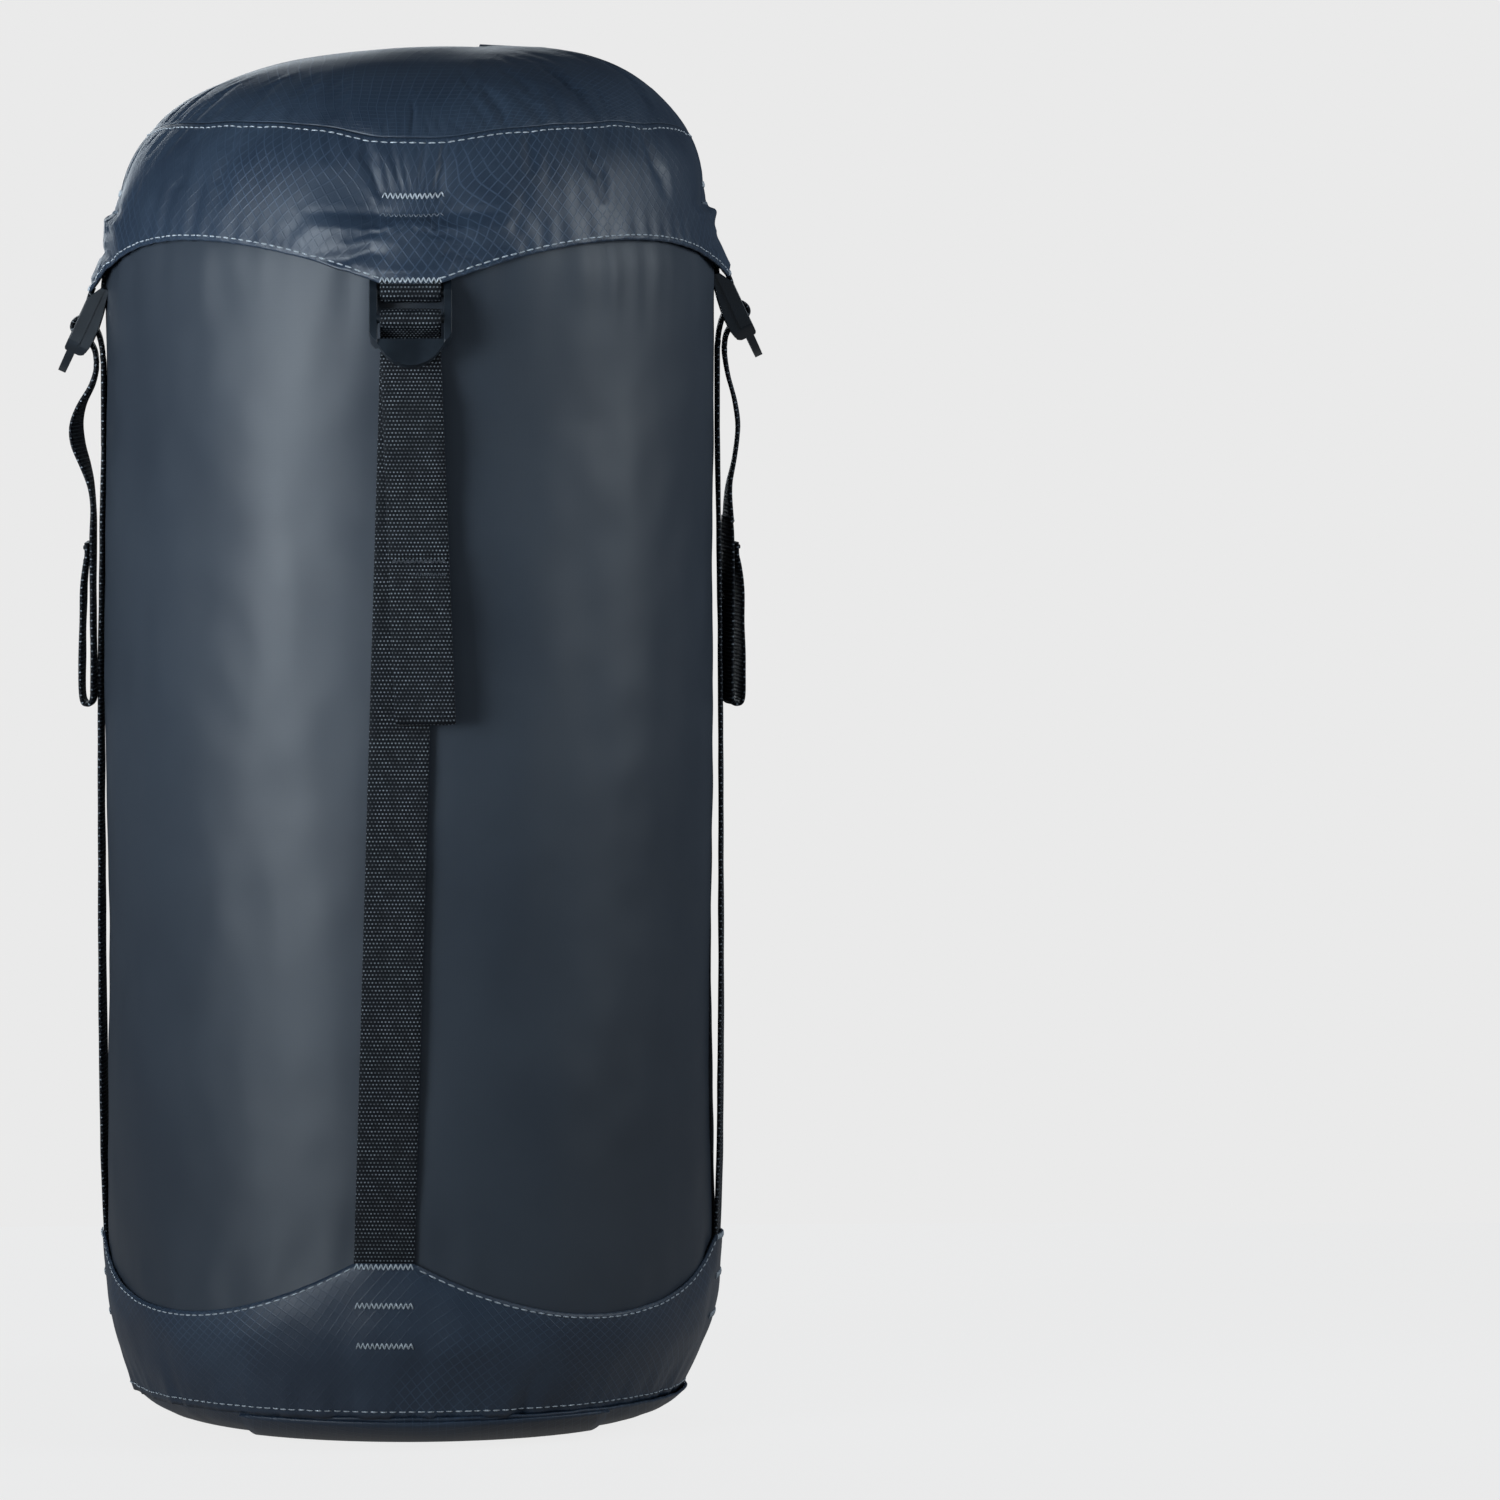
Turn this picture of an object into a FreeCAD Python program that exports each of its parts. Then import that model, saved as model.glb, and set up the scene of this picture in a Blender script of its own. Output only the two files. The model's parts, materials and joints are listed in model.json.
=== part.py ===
import FreeCAD, Part
import math
import os

# Compression sack, full and standing on its base. Millimetres and degrees.
# Z points up, X to the right and -Y to the front. The origin is the centre of
# the base, on the surface that the sack stands on.

# ---- Driving dimensions ----
webbing_width = 20.0
webbing_thick = 1.5
cloth_wall = 1.0  # every fabric wall is drawn this thick
base_twist = -5.2  # the base sits turned by this much under the lid

tube_radius = 102.4
cup_tab_z = 64.0
cup_valley_z = 44.6
lid_arch_z = 402.0
tab_half_angle = 5.5  # half of a tab's flat end, seen from the axis
tab_trim_width = 30.0

# each strap: the way it faces, and the height of its lid tab's lower end
strap_azimuth = {"front": -90.0, "right": 0.0, "back": 90.0, "left": 180.0}
tab_end_z = {"front": 388.5, "right": 388.5, "back": 388.5, "left": 383.5}

# outer outlines, (radius, height)
base_panel_outline = [(0, 1.7), (40, 1.7), (62, 1.7), (72, 2.1), (80, 3.6), (88, 6.8), (93.4, 10.8)]
cup_outline = [(94.6, 11.4), (98.3, 21), (101.2, 30), (103.2, 38), (104.1, 47), (105.0, 56), (106.1, 64)]
tube_foot = [
    (91.2, 13), (94.8, 21), (97.6, 30), (99.2, 38), (100.5, 48), (101.9, 62), (102.4, 76), (102.4, 84),
]
tube_shoulder = [(102.4, 370), (102.4, 378), (102.2, 385), (101.2, 392), (99.6, 398), (98.4, 402)]
lid_band_outline = [(109.2, 383.5), (106.7, 391), (103.7, 400), (99.9, 414), (97.3, 424.5), (92.4, 436.6)]
crown_outline = [(92.2, 437), (85, 445), (75.6, 452), (62, 458.6), (45, 463.3), (25, 465.9), (0, 466.5)]
collar_outline = [
    (98.2, 402.4), (96.5, 409), (88, 419), (70, 426.5), (45, 429.5), (22, 430.3), (14.6, 432.4), (13, 437),
]

# main strap and its sewn foot
strap_inner_u = 102.9
strap_foot_z = 37.0
strap_foot_u = 99.6
strap_top_drop = 21.6  # below the tab's end

# ladder-lock, in its own plane: s runs down it, n out of its face, from the top of its face
lock_tilt = 25.0
lock_face_u = 108.0
lock_half_width = 13.6
lock_side_s = 15.0  # the sides run straight down to here
lock_low_outline = [(18.6, 13.0), (21.0, 11.1), (23.2, 9.5), (25.5, 7.7), (27.7, 4.7), (28.9, 0.0)]
rail_width = 2.7
rail_head = [(-2.2, -5.7), (-3.1, -4.2), (-2.6, -2.9)]  # the round upper end of each rail
rail_edge_radius = 0.4
rail_step = 0.35  # the rear of each rail is set in by this
rail_step_n = -4.3
rail_front = [(2.3, 0.0), (20.3, 0.0), (22.9, -1.1), (22.9, -3.7)]
rail_back = [(20.4, -7.0), (17.0, -7.8), (11.0, -7.8), (6.3, -7.2)]
bar_radius = 1.5
bar_a = (2.3, -2.9)
bar_b = (12.2, -1.4)
tongue_thick = 2.6
tongue_n = -1.1
tongue_top_s = 19.4

# webbing at the lock, as (radius, height below the tab's end)
webbing_clear = 0.1  # air between webbing and the bar that it turns round
anchor_sewn_z = 415.0  # upper end of the webbing sewn inside each lid tab
turn_start = [(103.9, -21.2), (105.6, -14.5)]
turn_end = [(107.2, -21.4), (106.6, -22.9)]

# tail: where it leaves the lock, how it bows, and its loop
tail_start = (106.2, -24.5)
tail_bow = [(106.4, -28.5), (112.6, -46.0)]
tail_straight_z = -70.0
tail_clear_u = 106.5
loop_gap = 2.0
loop_sewn_z = 295.0
loop_end_z = 243.0
loop_lap = 4.0  # the tail's end lies on the tail this far above the stitching
tail_sway = {"front": 2.2, "right": 0.0, "back": 0.0, "left": 0.0}

# bottom pull handle
handle_thick = 1.4
handle_gap = 0.3
handle_end_width = 124.0
handle_waist = 100.0
handle_offset = 4.0

# mouth closure
cord_radius = 1.25
cord_z = 441.0
cord_ring_radius = 13.0
channel_outer = 3.0
channel_inner = 2.2
cord_bend = 5.0
cord_gap_angle = 52.0
cord_leg_x = 1.35
cord_leg_end_y = -62.0
knot_radius = 3.6
knot_turn_radius = 2.6
knot_turn_thick = 1.5
lock_barrel_radius = 6.5
lock_barrel_bore = 4.8
lock_barrel_bottom = 431.2
lock_barrel_height = 18.0
lock_barrel_y = -25.0
plunger_radius = 4.6
plunger_travel = 3.0
plunger_bottom_z = 437.4
barrel_floor = 1.2
button_radius = 6.0
button_thick = 3.0
spring_wire = 0.5
spring_radius = 3.4
spring_coils = 3.5


def turned(shape, degrees):
    copy = shape.copy()
    copy.rotate(FreeCAD.Vector(0, 0, 0), FreeCAD.Vector(0, 0, 1), degrees)
    return copy


def offset_points(points, distance):
    """The points moved sideways, to the left of their direction of travel."""
    moved = []
    for i, (a, b) in enumerate(points):
        before = points[max(i - 1, 0)]
        after = points[min(i + 1, len(points) - 1)]
        run, rise = after[0] - before[0], after[1] - before[1]
        length = math.hypot(run, rise)
        moved.append((a - rise / length * distance, b + run / length * distance))
    return moved


def curve_through(points):
    """Edges in the XZ plane through (x, z) points: level at first if the first two are level, else smooth."""
    corners = [FreeCAD.Vector(x, 0, z) for x, z in points]
    curve = Part.BSplineCurve()
    if abs(points[0][1] - points[1][1]) > 1e-6:
        curve.interpolate(corners)
        return [curve.toShape()]
    bent = corners[1:]
    level = [FreeCAD.Vector(1, 0, 0)] * len(bent)
    curve.interpolate(Points=bent, Tangents=level, TangentFlags=[i == 0 for i in range(len(bent))])
    return [Part.LineSegment(corners[0], corners[1]).toShape(), curve.toShape()]


def line_between(a, b):
    return Part.LineSegment(FreeCAD.Vector(a[0], 0, a[1]), FreeCAD.Vector(b[0], 0, b[1])).toShape()


def layer_face(points, thick):
    """The closed face between a smooth line and its offset to the left."""
    other = offset_points(points, thick)
    edges = curve_through(points) + curve_through(other)
    edges += [line_between(points[-1], other[-1]), line_between(other[0], points[0])]
    return Part.Face(Part.Wire(Part.__sortEdges__(edges)))


def turned_shell(outline, thick):
    """A wall of revolution; the outline is its outer face, walked with the wall on the left."""
    face = layer_face(outline, thick)
    return face.revolve(FreeCAD.Vector(0, 0, 0), FreeCAD.Vector(0, 0, 1), 360)


def domed_shell(outline, thick):
    """A wall of revolution that closes on the axis."""
    inner = offset_points(outline, thick)
    on_axis = [i for i, (r, z) in enumerate(outline) if r == 0][0]
    inner[on_axis] = (0, outline[on_axis][1] + (thick if on_axis == 0 else -thick))
    edges = curve_through(outline) + curve_through(inner)
    edges += [line_between(outline[-1], inner[-1]), line_between(inner[0], outline[0])]
    face = Part.Face(Part.Wire(Part.__sortEdges__(edges)))
    return face.revolve(FreeCAD.Vector(0, 0, 0), FreeCAD.Vector(0, 0, 1), 360)


def arch_cutter(radius, middle_z, left_z, right_z, far_z):
    """A prism along +X that cuts one scallop out of a band, between two tabs."""
    reach = 45.0 - tab_half_angle
    steps = 8
    inside, deep = 60, 70  # the prism starts inside the band and ends outside it
    points = []
    for i in range(-steps, steps + 1):
        share = i / steps
        end_z = right_z if share > 0 else left_z
        side = radius * math.sin(math.radians(reach * share))
        points.append((side, middle_z + (end_z - middle_z) * share * share))
    edge = Part.BSplineCurve()
    edge.interpolate([FreeCAD.Vector(inside, y, z) for y, z in points])
    corners = [points[-1], (points[-1][0], far_z), (points[0][0], far_z), points[0]]
    sides = Part.makePolygon([FreeCAD.Vector(inside, y, z) for y, z in corners])
    face = Part.Face(Part.Wire([edge.toShape()] + sides.Edges))
    return face.extrude(FreeCAD.Vector(deep, 0, 0))


# ---- Base ----
def base_panel():
    return domed_shell(base_panel_outline, cloth_wall)


def base_band():
    band = turned_shell(cup_outline, cloth_wall)
    for quarter in range(4):
        arch = arch_cutter(cup_outline[-1][0], cup_valley_z, cup_tab_z, cup_tab_z, cup_tab_z + 9)
        band = band.cut(turned(arch, 45 + 90 * quarter + base_twist))
    return band


def bottom_pull_handle():
    """A strip from front to back under the base, waisted in the middle."""
    below = -(handle_gap + handle_thick)
    outline = [(0, base_panel_outline[0][1] + below)] + offset_points(base_panel_outline, below)[1:]
    layer = domed_shell(outline, handle_thick)
    half_end, half_waist, reach = handle_end_width / 2, handle_waist / 2, 100.0
    low, high = -5, 20

    def at(x, y):
        return FreeCAD.Vector(x + handle_offset, y, low)

    sides = [
        Part.Arc(at(way * half_end, -way * reach), at(way * half_waist, 0), at(way * half_end, way * reach))
        for way in (1, -1)
    ]
    ends = [
        Part.LineSegment(at(half_end, reach), at(-half_end, reach)),
        Part.LineSegment(at(-half_end, -reach), at(half_end, -reach)),
    ]
    wire = Part.Wire(Part.__sortEdges__([edge.toShape() for edge in sides + ends]))
    return layer.common(Part.Face(wire).extrude(FreeCAD.Vector(0, 0, high - low)))


def body_tube():
    """A straight wall between a foot that rounds into the base and a shoulder under the lid."""
    wall_low, wall_high = tube_foot[-1][1], tube_shoulder[0][1]
    foot = turned_shell(tube_foot, cloth_wall)
    shoulder = turned_shell(tube_shoulder, cloth_wall)
    height = wall_high - wall_low
    base = FreeCAD.Vector(0, 0, wall_low)
    wall = Part.makeCylinder(tube_radius, height, base)
    wall = wall.cut(Part.makeCylinder(tube_radius - cloth_wall, height, base))
    return foot.fuse([wall, shoulder]).removeSplitter()


# ---- Straps ----
def strap_section(u, z, azimuth):
    """A closed rectangle of webbing, lying level at height z."""
    half = webbing_width / 2
    corners = [(u, -half), (u + webbing_thick, -half), (u + webbing_thick, half), (u, half), (u, -half)]
    return turned(Part.makePolygon([FreeCAD.Vector(x, y, z) for x, y in corners]), azimuth)


def main_strap(name):
    """Webbing from its sewn foot in the cup up to the lock, leaning by the base's twist."""
    azimuth = strap_azimuth[name]
    low = azimuth + base_twist
    sections = [
        strap_section(strap_foot_u, strap_foot_z, low),
        strap_section(strap_inner_u, cup_tab_z, low),
        strap_section(strap_inner_u, tab_end_z[name] - strap_top_drop, azimuth),
    ]
    return Part.makeLoft(sections, True, True)


# ---- Ladder-locks and their webbing, drawn facing +X with the tab's end at height 0 ----
def lock_point(s, n):
    """A lock's own (s, n) as (radius, height below the tab's end)."""
    angle = math.radians(lock_tilt)
    return (
        lock_face_u + s * math.sin(angle) + n * math.cos(angle),
        -s * math.cos(angle) + n * math.sin(angle),
    )


def set_on_tab(shape, name):
    """Moves a piece drawn at the tab's end to its own tab."""
    copy = shape.copy()
    copy.translate(FreeCAD.Vector(0, 0, tab_end_z[name]))
    return turned(copy, strap_azimuth[name])


def ribbon(path, width=webbing_width):
    """Webbing of the standard thickness along a path of edges in the XZ plane."""
    half = webbing_thick / 2
    outer = path.makeOffset2D(half, 0, False, True)
    inner = path.makeOffset2D(-half, 0, False, True)
    ends = []
    for index in (0, -1):
        a = outer.OrderedVertexes[index].Point
        b = inner.OrderedVertexes[index].Point
        ends.append((a, b))
    if (ends[0][0] - ends[0][1]).Length > 3 * webbing_thick:
        ends = [(ends[0][0], ends[1][1]), (ends[1][0], ends[0][1])]
    caps = [Part.LineSegment(a, b).toShape() for a, b in ends]
    face = Part.Face(Part.Wire(Part.__sortEdges__(outer.Edges + inner.Edges + caps)))
    face.translate(FreeCAD.Vector(0, -width / 2, 0))
    return face.extrude(FreeCAD.Vector(0, width, 0))


def rounded_path(points, radii):
    """Straight runs through (x, z) points, each inner corner rounded by its radius."""
    corners = [FreeCAD.Vector(x, 0, z) for x, z in points]
    edges, start = [], corners[0]
    for i, radius in enumerate(radii, 1):
        back = (corners[i - 1] - corners[i]).normalize()
        ahead = (corners[i + 1] - corners[i]).normalize()
        half_turn = back.getAngle(ahead) / 2
        run = radius / math.tan(half_turn)
        enter, leave = corners[i] + back * run, corners[i] + ahead * run
        centre_way = (back + ahead).normalize()
        middle = corners[i] + centre_way * (radius / math.sin(half_turn) - radius)
        edges.append(Part.LineSegment(start, enter).toShape())
        edges.append(Part.Arc(enter, middle, leave).toShape())
        start = leave
    edges.append(Part.LineSegment(start, corners[-1]).toShape())
    return Part.Wire(edges)


def anchor_loop(name):
    """Webbing sewn inside the lid tab, passed round the lock's top bar and back to the tab."""
    u, z = lock_point(*bar_a)
    ring = bar_radius + webbing_clear + webbing_thick / 2
    top = anchor_sewn_z - tab_end_z[name]
    knee = lid_arch_z - 1 - tab_end_z[name]
    points = [
        (96.6, top),
        (100.5, knee),
        (u - ring, 3.2),
        (u - ring, z - ring),
        (u + ring, z - ring),
        (u + ring, -0.5),
    ]
    return ribbon(rounded_path(points, [30, 20, ring - 0.01, ring - 0.01]))


def lock_rail():
    """One side rail with a round upper end, its rear set in by a step."""
    outline = [rail_head[2]] + rail_front + rail_back + [rail_head[0]]

    def at(s, n):
        return FreeCAD.Vector(s, 0, n)

    end = Part.Arc(*[at(s, n) for s, n in rail_head]).toShape()
    side = Part.makePolygon([at(s, n) for s, n in outline])
    rail = Part.Face(Part.Wire([end] + side.Edges)).extrude(FreeCAD.Vector(0, rail_width, 0))
    rail = rail.makeFillet(rail_edge_radius, [e for e in rail.Edges if e.BoundBox.YLength < 0.01])
    rear = Part.makeBox(40, rail_width, 20, FreeCAD.Vector(-5, rail_width - rail_step, rail_step_n - 20))
    rail = rail.cut(rear)
    rail.translate(FreeCAD.Vector(0, lock_half_width - rail_width, 0))
    return rail


def lock_plan():
    """A prism of the lock's outline seen from the front: straight sides that run into a round thumb tab."""
    tall = 40

    def at(s, t):
        return FreeCAD.Vector(s, t, -tall / 2)

    left = [(lock_side_s, lock_half_width)] + lock_low_outline
    low = left + [(s, -t) for s, t in reversed(left[:-1])]
    round_end = Part.BSplineCurve()
    round_end.interpolate([at(s, t) for s, t in low])
    corners = [low[-1], (-5, -lock_half_width), (-5, lock_half_width), low[0]]
    sides = Part.makePolygon([at(s, t) for s, t in corners])
    return Part.Face(Part.Wire([round_end.toShape()] + sides.Edges)).extrude(FreeCAD.Vector(0, 0, tall))


def ladder_lock():
    """Two rails, the top bar, the middle bar and the thumb tongue, turned onto the lock's tilt."""
    rail = lock_rail()
    mirrored = rail.mirror(FreeCAD.Vector(0, 0, 0), FreeCAD.Vector(0, 1, 0))
    inner = lock_half_width - rail_width + 0.4  # bars and tongue run this far into the rails
    tongue = Part.makeBox(
        12, 2 * inner, tongue_thick, FreeCAD.Vector(tongue_top_s, -inner, tongue_n - tongue_thick)
    )
    bars = [
        Part.makeCylinder(bar_radius, 2 * inner, FreeCAD.Vector(s, -inner, n), FreeCAD.Vector(0, 1, 0))
        for s, n in (bar_a, bar_b)
    ]
    lock = rail.fuse([mirrored, tongue] + bars).common(lock_plan())
    angle = math.radians(lock_tilt)
    frame = FreeCAD.Matrix(
        math.sin(angle), 0, math.cos(angle), lock_face_u,
        0, 1, 0, 0,
        -math.cos(angle), 0, math.sin(angle), 0,
        0, 0, 0, 1,
    )
    return lock.transformed(frame)


def strap_turn():
    """Webbing up behind the tongue, over the middle bar and back down behind the tongue."""
    u, z = lock_point(*bar_b)
    ring = bar_radius + webbing_clear + webbing_thick / 2
    over = [
        (u - 2.0, z + ring + 1.2),
        (u + ring + 0.9, z + ring * 0.55),
        (u + ring * 0.55, z - ring - 1.2),
    ]
    return ribbon(rounded_path(turn_start + over + turn_end, [14, 2.6, 2.2, 2.6, 1.5]))


def strap_tail(name):
    """The free end: it folds at the lock, bows out, then hangs in front of the strap to its pull loop."""
    zero = tab_end_z[name]
    inner = tail_clear_u + webbing_thick / 2
    outer = inner + webbing_thick + loop_gap
    lap_u = inner + webbing_thick + 0.15
    low = loop_end_z - zero + webbing_thick / 2
    sewn = loop_sewn_z - zero
    turn = (outer - inner) / 2
    points = [tail_start] + tail_bow + [
        (inner, tail_straight_z),
        (inner, low),
        (outer, low),
        (outer, sewn - 10),
        (lap_u, sewn - 2),
        (lap_u, sewn + loop_lap),
    ]
    tail = ribbon(rounded_path(points, [8, 18, 26, turn - 0.01, turn - 0.01, 8, 8]))
    hinge = FreeCAD.Vector(tail_start[0], 0, tail_start[1])
    tail.rotate(hinge, FreeCAD.Vector(1, 0, 0), tail_sway[name])
    fold_start = FreeCAD.Vector(tail_start[0], -webbing_width / 2, tail_start[1])
    fold = Part.makeCylinder(webbing_thick / 2 + 0.1, webbing_width, fold_start, FreeCAD.Vector(0, 1, 0))
    return tail.fuse(fold)


# ---- Lid ----
def lid_band():
    band = turned_shell(lid_band_outline, cloth_wall)
    for name, azimuth in strap_azimuth.items():
        other = {"front": "right", "right": "back", "back": "left", "left": "front"}[name]
        arch = arch_cutter(106.0, lid_arch_z, tab_end_z[name], tab_end_z[other], 370)
        band = band.cut(turned(arch, azimuth + 45))
        trim = Part.makeBox(
            50, tab_trim_width, 30, FreeCAD.Vector(80, -tab_trim_width / 2, tab_end_z[name] - 30)
        )
        band = band.cut(turned(trim, azimuth))
    return band


def lid_crown():
    return domed_shell(crown_outline, cloth_wall)


# ---- Mouth closure, under the lid ----
def mouth_collar():
    return turned_shell(collar_outline, cloth_wall)


def ring(radius, start, sweep):
    """Part of a round ring about the axis, at the cord's height."""
    circle = Part.Circle(
        FreeCAD.Vector(cord_ring_radius, 0, cord_z), FreeCAD.Vector(0, 1, 0), radius
    ).toShape()
    face = Part.Face(Part.Wire([circle]))
    return turned(face.revolve(FreeCAD.Vector(0, 0, 0), FreeCAD.Vector(0, 0, 1), sweep), start)


def drawcord_channel():
    start, sweep = -90 + cord_gap_angle / 2, 360 - cord_gap_angle
    return ring(channel_outer, start, sweep).cut(ring(channel_inner, start, sweep))


def drawcord():
    """Round the mouth in its channel, out at the front and through the cord lock to the knot."""
    bend_x = cord_leg_x + cord_bend
    bend_y = -math.sqrt((cord_ring_radius + cord_bend) ** 2 - bend_x ** 2)
    share = cord_ring_radius / (cord_ring_radius + cord_bend)
    half_turn = math.atan2(-bend_y, bend_x) / 2
    mid_x = bend_x - cord_bend * math.cos(half_turn)
    mid_y = bend_y + cord_bend * math.sin(half_turn)

    def at(x, y):
        return FreeCAD.Vector(x, y, cord_z)

    edges = [
        Part.LineSegment(at(cord_leg_x, cord_leg_end_y), at(cord_leg_x, bend_y)).toShape(),
        Part.Arc(at(cord_leg_x, bend_y), at(mid_x, mid_y), at(bend_x * share, bend_y * share)).toShape(),
        Part.Arc(
            at(bend_x * share, bend_y * share), at(0, cord_ring_radius), at(-bend_x * share, bend_y * share)
        ).toShape(),
        Part.Arc(at(-bend_x * share, bend_y * share), at(-mid_x, mid_y), at(-cord_leg_x, bend_y)).toShape(),
        Part.LineSegment(at(-cord_leg_x, bend_y), at(-cord_leg_x, cord_leg_end_y)).toShape(),
    ]
    circle = Part.Circle(at(cord_leg_x, cord_leg_end_y), FreeCAD.Vector(0, 1, 0), cord_radius)
    return Part.Wire(edges).makePipeShell([Part.Wire([circle.toShape()])], True, False)


def drawcord_knot():
    centre = FreeCAD.Vector(0, cord_leg_end_y - 2.4, cord_z)
    ball = Part.makeSphere(knot_radius, centre)
    turn = Part.makeTorus(knot_turn_radius, knot_turn_thick, centre, FreeCAD.Vector(0.3, 1, 0.2))
    knot = ball.fuse(turn)
    legs = [
        Part.makeCylinder(
            cord_radius, 9, FreeCAD.Vector(side * cord_leg_x, cord_leg_end_y, cord_z), FreeCAD.Vector(0, 1, 0)
        )
        for side in (1, -1)
    ]
    return knot.cut(legs)


def lock_passage(height, low):
    """The hole that both cord legs pass through, along Y."""
    width = 2 * (cord_leg_x + cord_radius) + 0.4
    return Part.makeBox(
        width, 4 * lock_barrel_radius, height,
        FreeCAD.Vector(-width / 2, lock_barrel_y - 2 * lock_barrel_radius, low),
    )


def upright(radius, height, low):
    return Part.makeCylinder(radius, height, FreeCAD.Vector(0, lock_barrel_y, low))


def cordlock_barrel():
    barrel = upright(lock_barrel_radius, lock_barrel_height, lock_barrel_bottom)
    barrel = barrel.makeFillet(0.8, [e for e in barrel.Edges if e.Closed])
    barrel = barrel.cut(upright(lock_barrel_bore, lock_barrel_height, lock_barrel_bottom + barrel_floor))
    return barrel.cut(lock_passage(2 * cord_radius + 0.5, cord_z - cord_radius - 0.25))


def cordlock_plunger():
    barrel_top = lock_barrel_bottom + lock_barrel_height
    stem_top = barrel_top + plunger_travel + 0.3
    stem = upright(plunger_radius, stem_top - plunger_bottom_z, plunger_bottom_z)
    button = upright(button_radius, button_thick, stem_top)
    button = button.makeFillet(0.9, [e for e in button.Edges if e.Closed])
    hole = lock_passage(2 * cord_radius + plunger_travel + 0.5, cord_z - cord_radius - 0.2)
    return stem.cut(hole).fuse(button).removeSplitter()


def cordlock_spring():
    """Four open coils between the barrel's floor and the plunger."""
    low = lock_barrel_bottom + barrel_floor + 0.1 + spring_wire
    high = plunger_bottom_z - 0.1 - spring_wire
    helix = Part.makeHelix((high - low) / spring_coils, high - low, spring_radius)
    section = Part.Circle(FreeCAD.Vector(spring_radius, 0, 0), FreeCAD.Vector(0, 1, 0), spring_wire)
    profile = Part.Wire([section.toShape()])
    coil = Part.Wire(helix.Edges).makePipeShell([profile], True, True)
    coil.translate(FreeCAD.Vector(0, lock_barrel_y, low))
    return coil


def all_parts():
    parts = {
        "base_panel": base_panel(),
        "base_band": base_band(),
        "bottom_pull_handle": bottom_pull_handle(),
        "body_tube": body_tube(),
        "lid_band": lid_band(),
        "lid_crown": lid_crown(),
        "mouth_collar": mouth_collar(),
        "drawcord_channel": drawcord_channel(),
        "drawcord": drawcord(),
        "drawcord_knot": drawcord_knot(),
        "cordlock_barrel": cordlock_barrel(),
        "cordlock_plunger": cordlock_plunger(),
        "cordlock_spring": cordlock_spring(),
    }
    lock, turn = ladder_lock(), strap_turn()
    for name in strap_azimuth:
        parts["strap_" + name] = main_strap(name)
        parts["anchor_loop_" + name] = set_on_tab(anchor_loop(name), name)
        parts["ladder_lock_" + name] = set_on_tab(lock, name)
        parts["strap_turn_" + name] = set_on_tab(turn, name)
        parts["strap_tail_" + name] = set_on_tab(strap_tail(name), name)
    return parts


os.makedirs("parts", exist_ok=True)
for node, shape in all_parts().items():
    box = shape.BoundBox
    print(
        node, shape.ShapeType, len(shape.Solids), shape.isValid(), round(shape.Volume, 1),
        [round(v, 1) for v in (box.XMin, box.XMax, box.YMin, box.YMax, box.ZMin, box.ZMax)],
    )
    shape.exportStep("parts/" + node + ".step")
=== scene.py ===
import json
import math
import bpy
import numpy as np
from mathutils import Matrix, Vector, noise


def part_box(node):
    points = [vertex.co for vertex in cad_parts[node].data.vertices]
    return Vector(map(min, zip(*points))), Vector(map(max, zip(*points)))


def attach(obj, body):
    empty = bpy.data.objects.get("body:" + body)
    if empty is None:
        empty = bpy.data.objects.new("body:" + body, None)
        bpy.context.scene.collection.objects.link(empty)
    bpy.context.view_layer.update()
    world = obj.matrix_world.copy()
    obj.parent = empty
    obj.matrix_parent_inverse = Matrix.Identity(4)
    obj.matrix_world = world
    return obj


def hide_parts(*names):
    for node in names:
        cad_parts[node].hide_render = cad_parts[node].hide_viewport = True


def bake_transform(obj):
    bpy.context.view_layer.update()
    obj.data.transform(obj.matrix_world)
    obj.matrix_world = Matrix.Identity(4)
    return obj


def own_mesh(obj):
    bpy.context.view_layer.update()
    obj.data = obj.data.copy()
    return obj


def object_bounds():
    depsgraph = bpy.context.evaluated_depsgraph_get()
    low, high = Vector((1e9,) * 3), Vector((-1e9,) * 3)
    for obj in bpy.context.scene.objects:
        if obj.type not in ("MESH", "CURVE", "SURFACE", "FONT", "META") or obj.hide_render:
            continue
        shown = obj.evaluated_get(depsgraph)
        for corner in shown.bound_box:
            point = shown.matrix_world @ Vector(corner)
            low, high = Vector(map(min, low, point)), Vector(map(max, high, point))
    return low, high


# Compression sack: navy ripstop lid and base cup on a slate tube, four webbing
# straps through ladder-locks. Lengths are in millimetres until MM turns them
# into Blender's metres; angles are in degrees unless a name says radians.

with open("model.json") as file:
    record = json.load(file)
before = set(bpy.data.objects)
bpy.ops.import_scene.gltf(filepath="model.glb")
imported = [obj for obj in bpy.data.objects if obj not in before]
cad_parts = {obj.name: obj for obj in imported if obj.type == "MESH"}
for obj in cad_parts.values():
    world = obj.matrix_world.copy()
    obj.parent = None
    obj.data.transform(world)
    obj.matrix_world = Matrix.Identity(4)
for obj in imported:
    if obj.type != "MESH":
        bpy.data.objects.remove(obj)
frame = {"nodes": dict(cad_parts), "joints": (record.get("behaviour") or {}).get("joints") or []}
cad_box = [list(corner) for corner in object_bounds()]

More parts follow.
